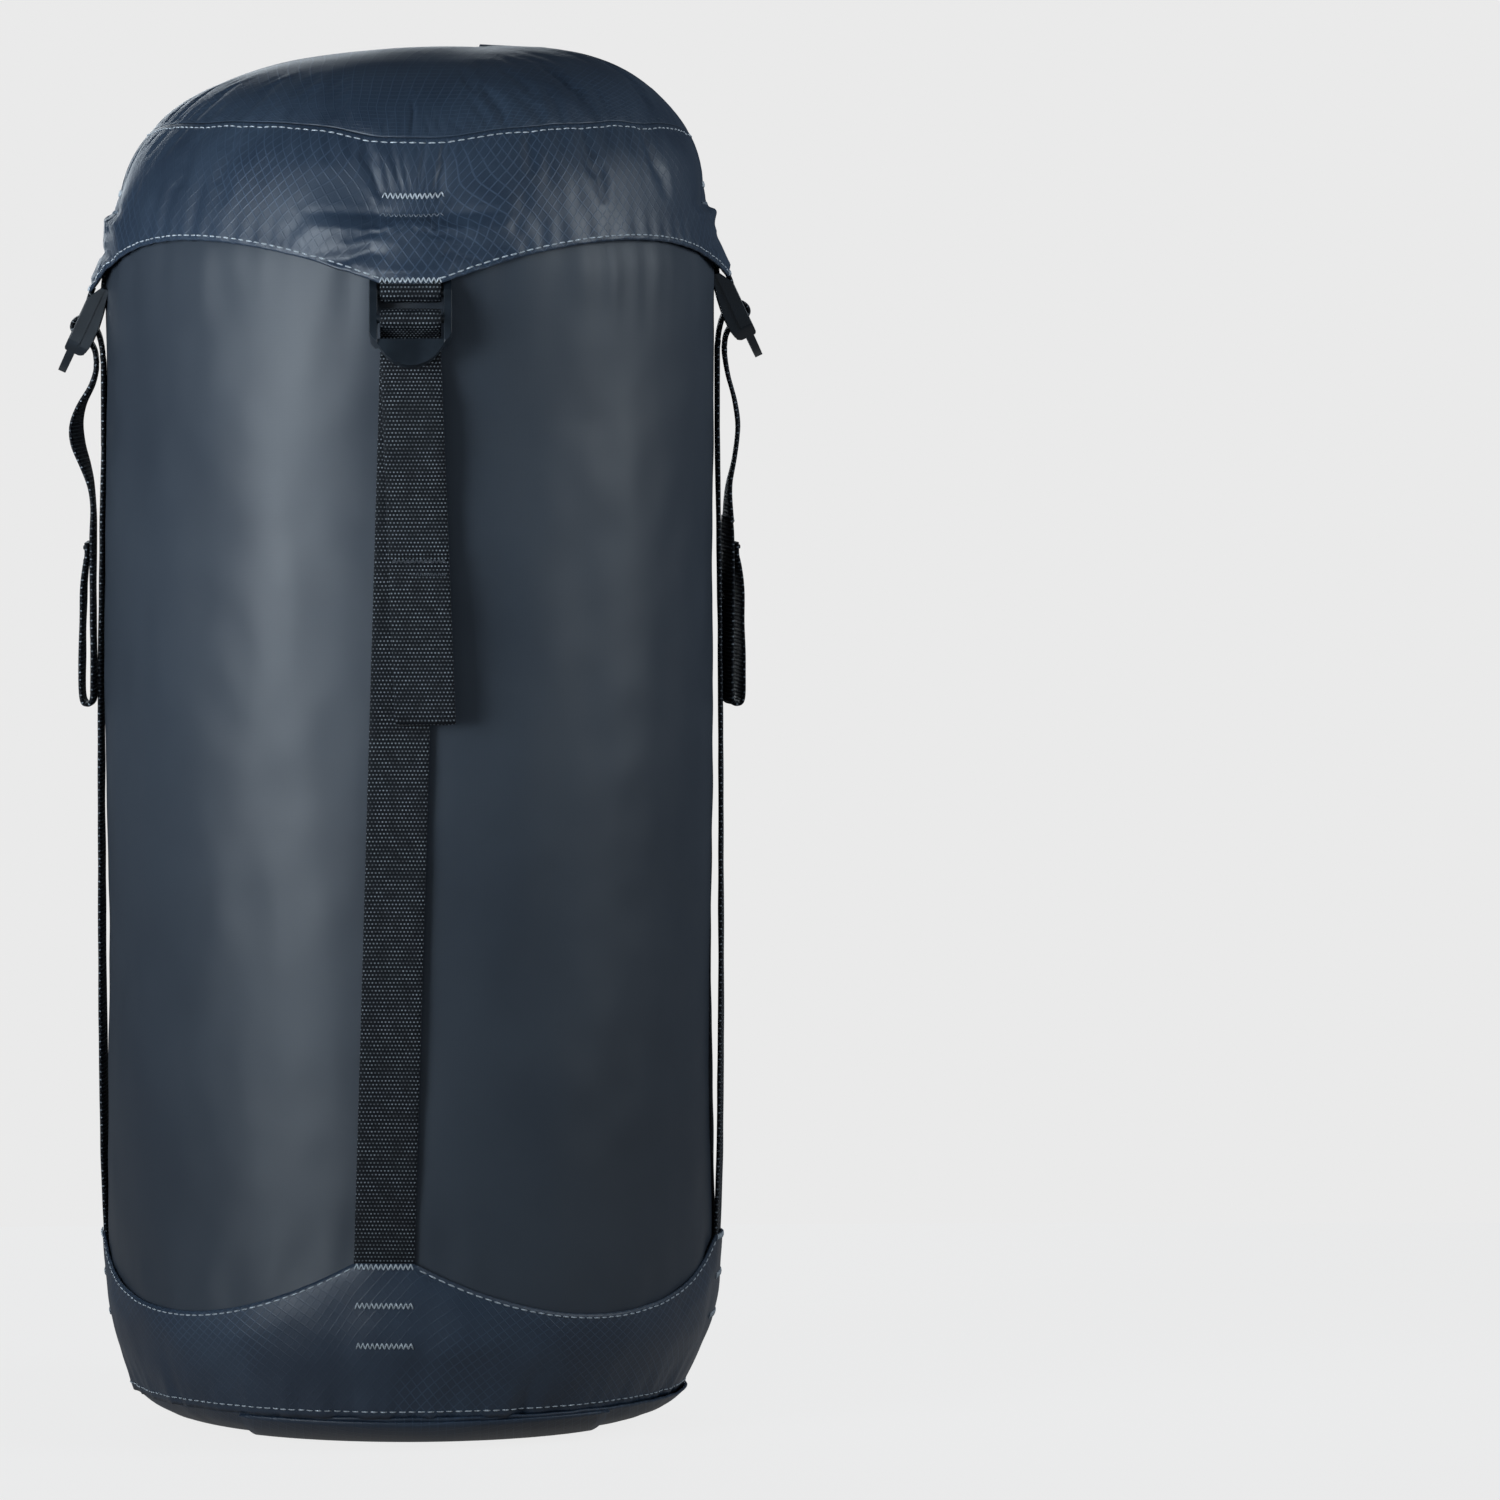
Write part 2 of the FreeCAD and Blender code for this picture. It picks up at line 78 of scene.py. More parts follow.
MM = 0.001
UV_SPAN = 100.0  # millimetres of cloth per UV unit
SIDES = ["front", "right", "back", "left"]
JOINTS = {j["name"]: j for j in frame["joints"]}
HINGE = {n: np.array(JOINTS["buckle_" + n]["pos_m"]) / MM for n in SIDES}
AZIMUTH = {n: math.degrees(math.atan2(HINGE[n][1], HINGE[n][0])) for n in SIDES}
BAR_DROP = 3.31  # a lock's top bar hangs this far below its lid tab's end
TAB_Z = {n: HINGE[n][2] + BAR_DROP for n in SIDES}
HEIGHT = cad_box[1][2] / MM

BASE_TWIST = -5.2  # the cup's tabs sit this far round from the lid's
TAB_HALF_ANGLE = 5.5
ARCH_Z = 402.0  # the lid's hem, half-way between two tabs
SEAM_Z = 437.0  # the crown seam
CUP_FOOT_Z, CUP_TAB_Z = (corner[2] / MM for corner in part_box("base_band"))
CUP_VALLEY_Z = 44.6  # the cup's edge, half-way between two tabs
CUP_START_Z = CUP_FOOT_Z - 0.6
TUBE_R, LID_R, CUP_R = 102.5, 103.5, 101.5  # for the cloths' flat lengths
WEB_WIDTH = 20.0
WEB_THICK = 1.5
WEB_EDGE = WEB_WIDTH / 2


# ---- mesh helpers
def smooth_line(points, steps):
    """Catmull-Rom points along a given line."""
    p = np.array(points, float)
    p = np.vstack([2 * p[0] - p[1], p, 2 * p[-1] - p[-2]])
    out = []
    for i in range(1, len(p) - 2):
        a, b, c, d = p[i - 1 : i + 3]
        square, cube = 2 * a - 5 * b + 4 * c - d, 3 * b - a - 3 * c + d
        for k in range(steps):
            t = k / steps
            out.append(0.5 * (2 * b + (c - a) * t + square * t**2 + cube * t**3))
    out.append(p[-2])
    return np.array(out)


def run_along(line):
    """How far along a line each of its points is."""
    return np.concatenate([[0], np.cumsum(np.linalg.norm(np.diff(line, axis=0), axis=1))])


def even_line(points, count):
    """The same line cut into count equal steps."""
    p = np.array(points, float)
    run = run_along(p)
    at = np.linspace(0, run[-1], count + 1)
    return np.stack([np.interp(at, run, p[:, k]) for k in range(p.shape[1])], axis=1)


def bell(x, middle, width):
    """1 at middle, falling smoothly to 0 on both sides."""
    return math.exp(-(((x - middle) / width) ** 2))


def bells(x, middle, width, power=2):
    """The same for an array, with steeper sides at a higher power."""
    return np.exp(-((np.abs(x - middle) / width) ** power))


def on_ring(theta, r):
    """The two level coordinates of a point at this angle and radius."""
    a = math.radians(theta)
    return math.cos(a) * r, math.sin(a) * r


def grid_normals(grid, wrap):
    """Unit normals of a (rows, columns, 3) grid, pointing out when rows rise and columns turn left."""
    if wrap:
        across = np.roll(grid, -1, axis=1) - np.roll(grid, 1, axis=1)
    else:
        across = np.gradient(grid, axis=1)
    n = np.cross(across, np.gradient(grid, axis=0))
    return n / np.maximum(np.linalg.norm(n, axis=2, keepdims=True), 1e-9)


def link_object(name, data):
    obj = bpy.data.objects.new(name, data)
    bpy.context.scene.collection.objects.link(obj)
    return obj


def mesh_object(name, verts, faces, uvs=None):
    mesh = bpy.data.meshes.new(name)
    mesh.from_pydata([tuple(v * MM) for v in np.asarray(verts, float)], [], faces)
    if uvs is not None:
        layer = mesh.uv_layers.new(name="cloth")
        flat = [where for corners in uvs for where in corners]
        layer.data.foreach_set("uv", np.array(flat, np.float32).ravel())
    mesh.shade_smooth()
    return link_object(name, mesh)


def shell(name, grid, uv, thick, wrap=True):
    """A closed sheet of cloth: the grid is its outer face, and its inner face lies thick behind."""
    rows, cols = grid.shape[:2]
    inner = grid - grid_normals(grid, wrap) * thick
    verts = np.concatenate([grid.reshape(-1, 3), inner.reshape(-1, 3)])
    faces, uvs = [], []
    span = cols if wrap else cols - 1

    def add(cells, behind, flip):
        """A face through (row, column) cells; behind is 1 where it is on the inner sheet."""
        face = [(i + b * rows) * cols + j % cols for (i, j), b in zip(cells, behind)]
        where = [uv[cell] for cell in cells]
        faces.append(face[::-1] if flip else face)
        uvs.append(where[::-1] if flip else where)

    def close(a, b, flip):
        add([a, a, b, b], [0, 1, 1, 0], flip)

    for i in range(rows - 1):
        for j in range(span):
            cells = [(i, j), (i, j + 1), (i + 1, j + 1), (i + 1, j)]
            add(cells, [0, 0, 0, 0], False)
            add(cells, [1, 1, 1, 1], True)
    for i, flip in ((0, False), (rows - 1, True)):
        for j in range(span):
            close((i, j), (i, j + 1), flip)
    if not wrap:
        for j, flip in ((0, True), (cols - 1, False)):
            for i in range(rows - 1):
                close((i, j), (i + 1, j), flip)
    return mesh_object(name, verts, faces, uvs)


def full_turn(angles):
    """The ring's angles in radians, with the first one repeated at the end."""
    return np.radians(np.append(angles, angles[0] + 360))


def ring_uv(angles, heights, radius):
    """UVs of a band: arc length round it, and distance up it, both in cloth millimetres."""
    around = full_turn(angles) * radius / UV_SPAN
    return np.stack(np.broadcast_arrays(around, np.asarray(heights)[:, None] / UV_SPAN), axis=2)


def disc_uv(angles, radii):
    """UVs of a round panel laid flat, ring by ring."""
    turn, reach = full_turn(angles), np.asarray(radii)[:, None] / UV_SPAN
    return np.stack([np.cos(turn) * reach, np.sin(turn) * reach], axis=2)


# ---- materials
class Shader:
    """A new node material, and short calls for the nodes that the materials share."""

    def __init__(self, name):
        self.mat = bpy.data.materials.new(name)
        self.mat.use_nodes = True
        self.tree = self.mat.node_tree
        self.inputs = self.tree.nodes["Principled BSDF"].inputs

    def feed_one(self, socket, value):
        """Gives a socket a number, a colour or another node's output."""
        if isinstance(value, (int, float)):
            socket.default_value = value
        elif isinstance(value, tuple):
            socket.default_value = (*value, 1)
        else:
            self.tree.links.new(value, socket)

    def feed(self, inputs, **values):
        """Feeds inputs by name, with _ for a space."""
        for key, value in values.items():
            self.feed_one(inputs[key.replace("_", " ")], value)

    def math(self, operation, a, b=0.0):
        node = self.tree.nodes.new("ShaderNodeMath")
        node.operation = operation
        self.feed_one(node.inputs[0], a)
        self.feed_one(node.inputs[1], b)
        return node.outputs[0]

    def add(self, a, b):
        return self.math("ADD", a, b)

    def times(self, a, b):
        return self.math("MULTIPLY", a, b)

    def ease(self, value, low, high, to_low=0.0, to_high=1.0):
        """The value, eased from low..high to to_low..to_high."""
        node = self.tree.nodes.new("ShaderNodeMapRange")
        node.interpolation_type = "SMOOTHSTEP"
        self.feed(node.inputs, Value=value, From_Min=low, From_Max=high, To_Min=to_low, To_Max=to_high)
        return node.outputs[0]

    def mix(self, share, a, b):
        node = self.tree.nodes.new("ShaderNodeMix")
        node.data_type = "RGBA"
        self.feed(node.inputs, Factor=share, A=a, B=b)
        return node.outputs["Result"]

    def cloth_uv(self):
        """The piece's own cloth coordinates, split into across and along."""
        uv = self.tree.nodes.new("ShaderNodeUVMap")
        uv.uv_map = "cloth"
        split = self.tree.nodes.new("ShaderNodeSeparateXYZ")
        self.tree.links.new(uv.outputs[0], split.inputs[0])
        return split.outputs["X"], split.outputs["Y"]

    def noise(self, scale, detail=2.0, rough=0.5):
        where = self.tree.nodes.new("ShaderNodeTexCoord")
        node = self.tree.nodes.new("ShaderNodeTexNoise")
        self.feed(node.inputs, Vector=where.outputs["Object"], Scale=scale, Detail=detail, Roughness=rough)
        return node.outputs["Fac"]

    def ridge(self, value, cell_mm, half_width=0.5):
        """1 on a thin line once per cell, 0 between."""
        wave = self.math("PINGPONG", self.times(value, UV_SPAN / cell_mm), 0.5)
        return self.ease(wave, half_width, half_width * 0.35)

    def bump(self, height, distance_mm, strength):
        node = self.tree.nodes.new("ShaderNodeBump")
        self.feed(node.inputs, Height=height, Distance=distance_mm * MM, Strength=strength)
        self.feed(self.inputs, Normal=node.outputs["Normal"])

    def look(self, colour, roughness, **others):
        self.feed(self.inputs, Base_Color=colour, Roughness=roughness, **others)
        return self.mat


def ripstop(name, light, dark, diagonal=False):
    """Thin coated cloth with a raised grid of stronger threads, painted lighter in patches as highlights on
    them.
    """
    s = Shader(name)
    across, along = s.cloth_uv()
    if diagonal:
        slant = math.sqrt(0.5)
        total, gap = s.add(across, along), s.math("SUBTRACT", across, along)
        across, along = s.times(total, slant), s.times(gap, slant)
    cell_mm, weave_mm = 2.8, 0.45
    lines = s.math("MAXIMUM", s.ridge(across, cell_mm, 0.10), s.ridge(along, cell_mm, 0.10))
    weave = s.math("MAXIMUM", s.ridge(across, weave_mm), s.ridge(along, weave_mm))
    s.bump(s.add(lines, s.times(weave, 0.22)), 0.05, 0.8)
    cloudy = s.noise(22.0, 4.0, 0.6)
    tone = s.mix(s.ease(cloudy, 0.35, 0.7), dark, light)
    # painted highlight: the grid threads are painted lighter, in noisy patches, as glints of light on them
    painted_glint = tuple(min(1.0, c * 2.1 + 0.006) for c in light)
    glint_share = s.ease(s.noise(17.0), 0.42, 0.62, 0.03, 0.42)
    colour = s.mix(s.times(lines, glint_share), tone, painted_glint)
    return s.look(colour, s.ease(cloudy, 0.2, 0.8, 0.42, 0.50), Specular_IOR_Level=0.6)


def coated_nylon(name, light, dark):
    """Smooth coated cloth of the tube: a faint fine weave under a soft gloss."""
    s = Shader(name)
    across, along = s.cloth_uv()
    weave = s.add(s.ridge(across, 0.5), s.ridge(along, 0.5))
    s.bump(s.add(s.times(weave, 0.5), s.noise(900.0)), 0.02, 0.5)
    cloudy = s.noise(14.0, 4.0, 0.55)
    return s.look(s.mix(s.ease(cloudy, 0.3, 0.7), dark, light), s.ease(cloudy, 0.2, 0.8, 0.46, 0.54))


def webbing(name):
    """Near-black webbing: staggered rows of small knuckles, painted light on top as highlights."""
    s = Shader(name)
    across, along = s.cloth_uv()
    row_mm, column_mm = 1.30, 1.18
    row = s.times(along, UV_SPAN / row_mm)
    odd = s.times(s.math("MODULO", s.math("FLOOR", row), 2.0), 0.5)
    column = s.add(s.times(across, UV_SPAN / column_mm), odd)
    du = s.math("SUBTRACT", s.math("FRACT", column), 0.5)
    dv = s.times(s.math("SUBTRACT", s.math("FRACT", row), 0.5), 1.25)
    far = s.math("SQRT", s.add(s.times(du, du), s.times(dv, dv)))
    s.bump(s.ease(far, 0.62, 0.08), 0.30, 1.0)
    patchy = s.noise(260.0, rough=0.6)
    # painted highlight: pale dots on the knuckles stand in for glints, their strength varied by noise
    painted_glint = s.times(s.ease(far, 0.34, 0.10), s.ease(patchy, 0.35, 0.65, 0.35, 1.0))
    colour = s.mix(painted_glint, (0.0035, 0.005, 0.008), (0.30, 0.34, 0.38))
    return s.look(colour, s.ease(patchy, 0.3, 0.7, 0.5, 0.68), Specular_IOR_Level=0.22)


def thread(name, colour):
    s = Shader(name)
    patchy = s.noise(1500.0, rough=0.6)
    s.bump(patchy, 0.06, 0.8)
    dim = tuple(c * 0.6 for c in colour)
    return s.look(s.mix(s.ease(patchy, 0.35, 0.65), dim, colour), s.ease(patchy, 0.3, 0.7, 0.45, 0.65))


def moulded(name, colour):
    """Moulded black plastic with a very fine mould texture."""
    s = Shader(name)
    s.bump(s.noise(1800.0), 0.015, 0.6)
    broad = s.noise(90.0, 3.0)
    worn = tuple(c * 1.7 for c in colour)
    return s.look(s.mix(s.ease(broad, 0.35, 0.7), colour, worn), s.ease(broad, 0.25, 0.75, 0.30, 0.42))


def steel(name):
    s = Shader(name)
    streak = s.noise(700.0, 3.0, 0.6)
    colour = s.mix(streak, (0.42, 0.42, 0.43), (0.62, 0.62, 0.63))
    return s.look(colour, s.ease(streak, 0.2, 0.8, 0.2, 0.35), Metallic=1.0)


NAVY_LIGHT, NAVY_DARK = (0.030, 0.050, 0.082), (0.018, 0.032, 0.057)
RIPSTOP = ripstop("ripstop_crown", NAVY_LIGHT, NAVY_DARK)
RIPSTOP_BIAS = ripstop("ripstop_band", NAVY_LIGHT, NAVY_DARK, diagonal=True)
SLATE = coated_nylon("slate_coated", (0.043, 0.055, 0.073), (0.034, 0.044, 0.060))
COLLAR = coated_nylon("collar_cloth", (0.040, 0.050, 0.066), (0.028, 0.036, 0.048))
WEBBING = webbing("webbing_weave")
THREAD = thread("pale_thread", (0.62, 0.68, 0.74))
# mid-grey thread: painted shade on the pale thread of the lowest lid tacks, which sit in the fold
SHADED_THREAD = thread("painted_shade_thread", (0.20, 0.24, 0.29))
DARK_THREAD = thread("dark_thread", (0.05, 0.06, 0.075))
ACETAL = moulded("black_acetal", (0.009, 0.013, 0.018))
# the cord uses the webbing's shader, painted highlights on its knuckles included
CORD = webbing("cord_braid")
STEEL = steel("spring_steel")


def paint(obj, mat):
    obj.data.materials.clear()
    obj.data.materials.append(mat)


def finish_piece(obj, mat, body=None, node=None):
    """Gives a piece its material and its body, and hides the CAD node that it stands for."""
    paint(obj, mat)
    if body:
        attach(obj, body)
    if node:
        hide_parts(node)
    return obj


# ---- shapes of the sack
def profile(points, at):
    """The second value at the first value at, on an outline of such pairs, as radius by height."""
    first, second = zip(*points)
    return np.interp(at, first, second)


def soft_profile(points):
    """An outline smoothed through its points, as (height, radius) samples."""
    return [tuple(p) for p in smooth_line(points, 10)]


CUP_PROFILE = soft_profile([
    (9.5, 92.6), (12.6, 93.8), (21, 97.2), (28, 100.0), (34, 102.2),
    (40, 103.6), (47, 104.5), (56, 105.2), (64.5, 106.0),
])
TUBE_PROFILE = soft_profile([
    (12, 92), (30, 99.6), (44, 102.6), (64, 103.0), (90, 102.9), (160, 102.5), (230, 103.0),
    (300, 102.6), (360, 102.7), (388, 102.8), (398, 102.0), (404, 100.0), (408, 97),
])
LID_PROFILE = soft_profile([
    (380, 109.4), (385, 108.0), (391, 106.3), (397, 104.5), (402, 103.4), (408, 102.2), (414, 101.2),
    (421, 99.4), (427.9, 96.9), (434.7, 92.8), (438.5, 89.8), (442, 86.5),
])
CROWN_PROFILE = [  # as (radius, height)
    (89.8, 437.0), (87.2, 440.2), (83.6, 444.3), (78.3, 448.4), (71.9, 452.5), (63.6, 456.6), (53.2, 460.2),
    (42.5, 462.6), (29, 464.4), (14, 465.4), (0.4, 465.2),
]


def signed_angle(a, b):
    return (a - b + 180.0) % 360.0 - 180.0


def scallop(theta, twist, middle, ends):
    """Height of a scalloped edge: ends[name] on each tab, middle half-way between two tabs."""
    reach = 45.0 - TAB_HALF_ANGLE
    for k, name in enumerate(SIDES):
        other = SIDES[(k + 1) % 4]
        from_middle = signed_angle(theta, AZIMUTH[name] + 45 + twist)
        if abs(from_middle) <= 45.0:
            share = np.clip(from_middle / reach, -1, 1)
            end = ends[other] if share > 0 else ends[name]
            return middle + (end - middle) * share * share
    return middle


def lid_edge(theta):
    return scallop(theta, 0.0, ARCH_Z, TAB_Z)


def cup_edge(theta):
    return scallop(theta, BASE_TWIST, CUP_VALLEY_Z, {n: CUP_TAB_Z for n in SIDES})


def nearest_tab(theta, twist):
    """Degrees from the nearest tab's middle."""
    return min((signed_angle(theta, AZIMUTH[n] + twist) for n in SIDES), key=abs)


def tab_weight(theta, twist, spread):
    """1 at a tab's middle, falling to 0 between the tabs."""
    return bell(nearest_tab(theta, twist), 0, spread)


def wobble(x, y, z, scale, seed):
    """Smooth noise from -1 to 1 that is the same on every run."""
    at = Vector((x / scale + seed * 7.3, y / scale - seed * 3.1, z / scale + seed * 11.7))
    return noise.noise(at) * 1.6


def ring_angles(count):
    return np.arange(count) * 360.0 / count - 180.0


def lean(z):
    """How far the filled sack leans to the right at height z, as its lid was packed unevenly."""
    heights = [14, 34, 404, 414, 425, 433, 438, 446, 450.4, 454.5, 458.6, 461.5, 463.5, 465, 466.5]
    shifts = [-1.4, 0, 0, 0.4, 1.7, 2.5, 3.8, 4.4, 6.6, 8.6, 11.3, 14.8, 18.5, 23, 28]
    return float(np.interp(z, heights, shifts))


def band_grid(angles, low, high, rows, radius_at):
    """Grid of a side band: low and high are its edges by angle, radius_at is by angle, height and share."""
    grid = np.zeros((rows + 1, len(angles), 3))
    for j, theta in enumerate(angles):
        z0, z1 = low(theta), high(theta)
        for i in range(rows + 1):
            z = z0 + (z1 - z0) * i / rows
            x, y = on_ring(theta, radius_at(theta, z, i / rows))
            grid[i, j] = (x + lean(z), y, z)
    return grid


# ---- tube
def tube_radius(theta, z, share):
    """The filled tube: pressed in under the straps, slack folds near its ends, shallow dents between."""
    r = profile(TUBE_PROFILE, z)
    twist = BASE_TWIST * np.clip(1 - (z - 64) / 300, 0, 1)
    middle = np.clip((z - 60) / 60, 0, 1) * np.clip((392 - z) / 50, 0, 1)
    r += middle * (0.7 * (1 - tab_weight(theta, twist, 9.0)) - 0.55)
    x, y = on_ring(theta, 102)
    rightward = math.cos(math.radians(theta))
    r += middle * (0.45 * rightward**2 - 0.75 * rightward)
    r += middle * 1.15 * wobble(x, y, z * 0.32, 62, 1)
    r += middle * 0.5 * wobble(x, y, z * 0.25, 26, 2)
    r += 0.22 * wobble(x, y, z * 0.8, 14, 3)
    r += bell(z, 392, 16) * 0.55 * wobble(x * 1.6, y * 1.6, z * 0.25, 13, 4)
    r += bell(z - cup_edge(theta), 4, 12) * 0.5 * wobble(x * 1.6, y * 1.6, z * 0.3, 15, 5)
    return r


def make_tube():
    angles = ring_angles(300)
    low_z, high_z, rows = 14.0, 407.0, 200
    grid = band_grid(angles, lambda t: low_z, lambda t: high_z, rows, tube_radius)
    heights = np.linspace(low_z, high_z, rows + 1)
    tube = shell("tube_cloth", grid, ring_uv(angles, heights, TUBE_R), 0.6)
    finish_piece(tube, SLATE, "base", "body_tube")
    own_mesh(tube)


# ---- stitching
class Surface:
    """A closed band's grid, asked by angle and share of its height."""

    def __init__(self, grid, angles):
        self.grid, self.angles = grid, angles
        self.normals = grid_normals(grid, True)

    def sample(self, values, theta, share):
        rows, cols = values.shape[:2]
        turn = (theta - self.angles[0]) % 360.0
        col = np.interp(turn, np.append(self.angles - self.angles[0], 360.0), np.arange(cols + 1))
        row = np.clip(share, 0, 1) * (rows - 1)
        j, i = min(int(col), cols - 1), min(int(row), rows - 2)
        fj, fi = col - j, row - i
        a, b = values[i, j % cols], values[i, (j + 1) % cols]
        c, d = values[i + 1, j % cols], values[i + 1, (j + 1) % cols]
        return (a * (1 - fj) + b * fj) * (1 - fi) + (c * (1 - fj) + d * fj) * fi

    def normal(self, theta, share):
        n = self.sample(self.normals, theta, share)
        return n / np.linalg.norm(n)

    def point(self, theta, share, lift):
        return self.sample(self.grid, theta, share) + self.normal(theta, share) * lift


def stitch_bar(a, b, up, width, height):
    """A single stitch: a low six-sided bar between two points, narrowed at its ends."""
    along = (b - a) / np.linalg.norm(b - a)
    side = np.cross(up, along)
    side /= np.linalg.norm(side)
    rings = []
    for share, size in ((0.0, 0.35), (0.18, 0.9), (0.5, 1.0), (0.82, 0.9), (1.0, 0.35)):
        centre = a + (b - a) * share + up * (height * (0.35 * math.sin(math.pi * share) - 0.15))
        for k in range(6):
            t = math.pi * k / 3
            rings.append(centre + size * (side * math.cos(t) * width / 2 + up * math.sin(t) * height / 2))
    faces = [list(range(5, -1, -1)), [24 + k for k in range(6)]]
    for ring in range(4):
        for k in range(6):
            m = (k + 1) % 6
            faces.append([ring * 6 + k, ring * 6 + m, ring * 6 + 6 + m, ring * 6 + 6 + k])
    return rings, faces


def stitches(name, bars, body, width=0.55, height=0.42, mat=THREAD):
    """One piece of many stitches; bars are (start, end, outward) triples."""
    verts, faces = [], []
    for a, b, up in bars:
        v, f = stitch_bar(np.array(a), np.array(b), np.array(up), width, height)
        faces += [[len(verts) + q for q in face] for face in f]
        verts += v
    finish_piece(mesh_object(name, verts, faces), mat, body)


def seam_bars(surface, share_at, pitch=3.1, fill=0.72, radius=100.0, lift=0.12, skip=None):
    """Stitches round a band, at share_at(angle) of its height."""
    count = int(2 * math.pi * radius / pitch)
    bars = []
    for k in range(count):
        t0 = -180 + 360 * k / count
        t1 = t0 + 360 / count * fill
        mid = (t0 + t1) / 2
        if skip and skip(mid):
            continue
        a, b = surface.point(t0, share_at(t0), lift), surface.point(t1, share_at(t1), lift)
        bars.append((a, b, surface.normal(mid, share_at(mid))))
    return bars


# ---- lid
LID_COLUMNS, LID_BAND_ROWS, LID_CROWN_ROWS = 256, 26, 30
SETTLE_FRAMES = 34
SETTLE_MM = 100.0  # the lid settles at this many millimetres to a unit
LID_MOVE_CAP = 8.0  # as far as the settling may carry a point of the lid
LID_SWELL = 0.1  # how much of the settling's broad swell is kept beside its folds


def own_tab(theta, twist=0.0):
    """The strap whose tab is nearest to this angle."""
    return min(SIDES, key=lambda n: abs(signed_angle(theta, AZIMUTH[n] + twist)))


# the lower of each tab's two upper tacks, and how wide and how far down the cloth is gathered there
TACK_Z = {"front": 410.5, "right": 413.0, "back": 410.8, "left": 410.0}
TACK_APART = 6.3
GATHER = {"front": (16.5, 4.0), "right": (14.5, 3.0), "back": (15.5, 3.5), "left": (15.0, 3.0)}
SEAM_DIP = {"front": 5.2, "right": 3.6, "back": 4.6, "left": 3.2}


def seam_height(theta):
    """The crown seam is drawn down over each tab and rises between them."""
    dips = [SEAM_DIP[n] * bell(signed_angle(theta, AZIMUTH[n]), 0, 19.0) for n in SIDES]
    return SEAM_Z + 4.0 - sum(dips) + 0.5 * wobble(*on_ring(theta, 90), 3, 17, 10)


# the lid's radius over each lock, from the tab's end (0) to its tacks (1)
FLARE_UP = [0, 0.13, 0.25, 0.35, 0.46, 0.61, 0.75, 1.0, 1.25]
FLARE = {
    "front": [108.9, 108.2, 107.0, 106.0, 104.8, 103.6, 103.1, 102.0, 100.2],
    "right": [108.4, 107.6, 106.3, 104.8, 103.0, 101.6, 101.2, 101.5, 100.2],
    "left": [109.0, 106.7, 104.6, 103.3, 101.6, 100.6, 101.4, 101.4, 99.8],
}
FLARE["back"] = FLARE["front"]


def lid_radius(theta, z, share):
    """The lid's side: flared over each lock and drawn in at the tacks above it."""
    r = profile(LID_PROFILE, z)
    tab = own_tab(theta)
    up = (z - TAB_Z[tab]) / (TACK_Z[tab] + GATHER[tab][1] - TAB_Z[tab])
    flare = np.interp(up, FLARE_UP, FLARE[tab])
    near = tab_weight(theta, 0.0, 9.0)
    r += near * np.clip((418 - z) / 14, 0, 1) * (flare - r)
    return r + 0.9 * min(1.0, share / 0.25) * wobble(*on_ring(theta, 100), z * 1.2, 30, 13)


def crown_point(theta, share, rim):
    """The crown from its seam (share 0) to its middle (share 1); rim is the seam's own point."""
    along = share * (len(CROWN_PROFILE) - 1)
    k = min(int(along), len(CROWN_PROFILE) - 2)
    f = along - k
    r, z = (p * (1 - f) + q * f for p, q in zip(CROWN_PROFILE[k], CROWN_PROFILE[k + 1]))
    hold = (1 - share) ** 2
    rim_r = math.hypot(rim[0] - lean(rim[2]), rim[1])
    r *= 1 + (rim_r / CROWN_PROFILE[0][0] - 1) * hold
    z += (rim[2] - CROWN_PROFILE[0][1]) * hold
    x, y = on_ring(theta, r)
    z += min(1.0, share * 3) * 0.9 * wobble(x, y, 0, 34, 22)
    return (x + lean(z), y, min(z, HEIGHT - 0.3))


def tab_columns(count, crowd=0.5):
    """Angles round the lid, closer together near the four tabs."""
    even = np.arange(count) * 2 * math.pi / count - math.pi
    return np.degrees(even - crowd / 4 * np.sin(4 * even))


def lid_cut():
    """The lid before it is gathered: one grid from the hem over the crown seam to the middle."""
    angles = tab_columns(LID_COLUMNS)
    band = band_grid(angles, lid_edge, seam_height, LID_BAND_ROWS, lid_radius)
    crown = np.zeros((LID_CROWN_ROWS, len(angles), 3))
    for j, theta in enumerate(angles):
        for i in range(LID_CROWN_ROWS):
            crown[i, j] = crown_point(theta, (i + 1) / LID_CROWN_ROWS, band[-1, j])
    return angles, np.concatenate([band, crown])


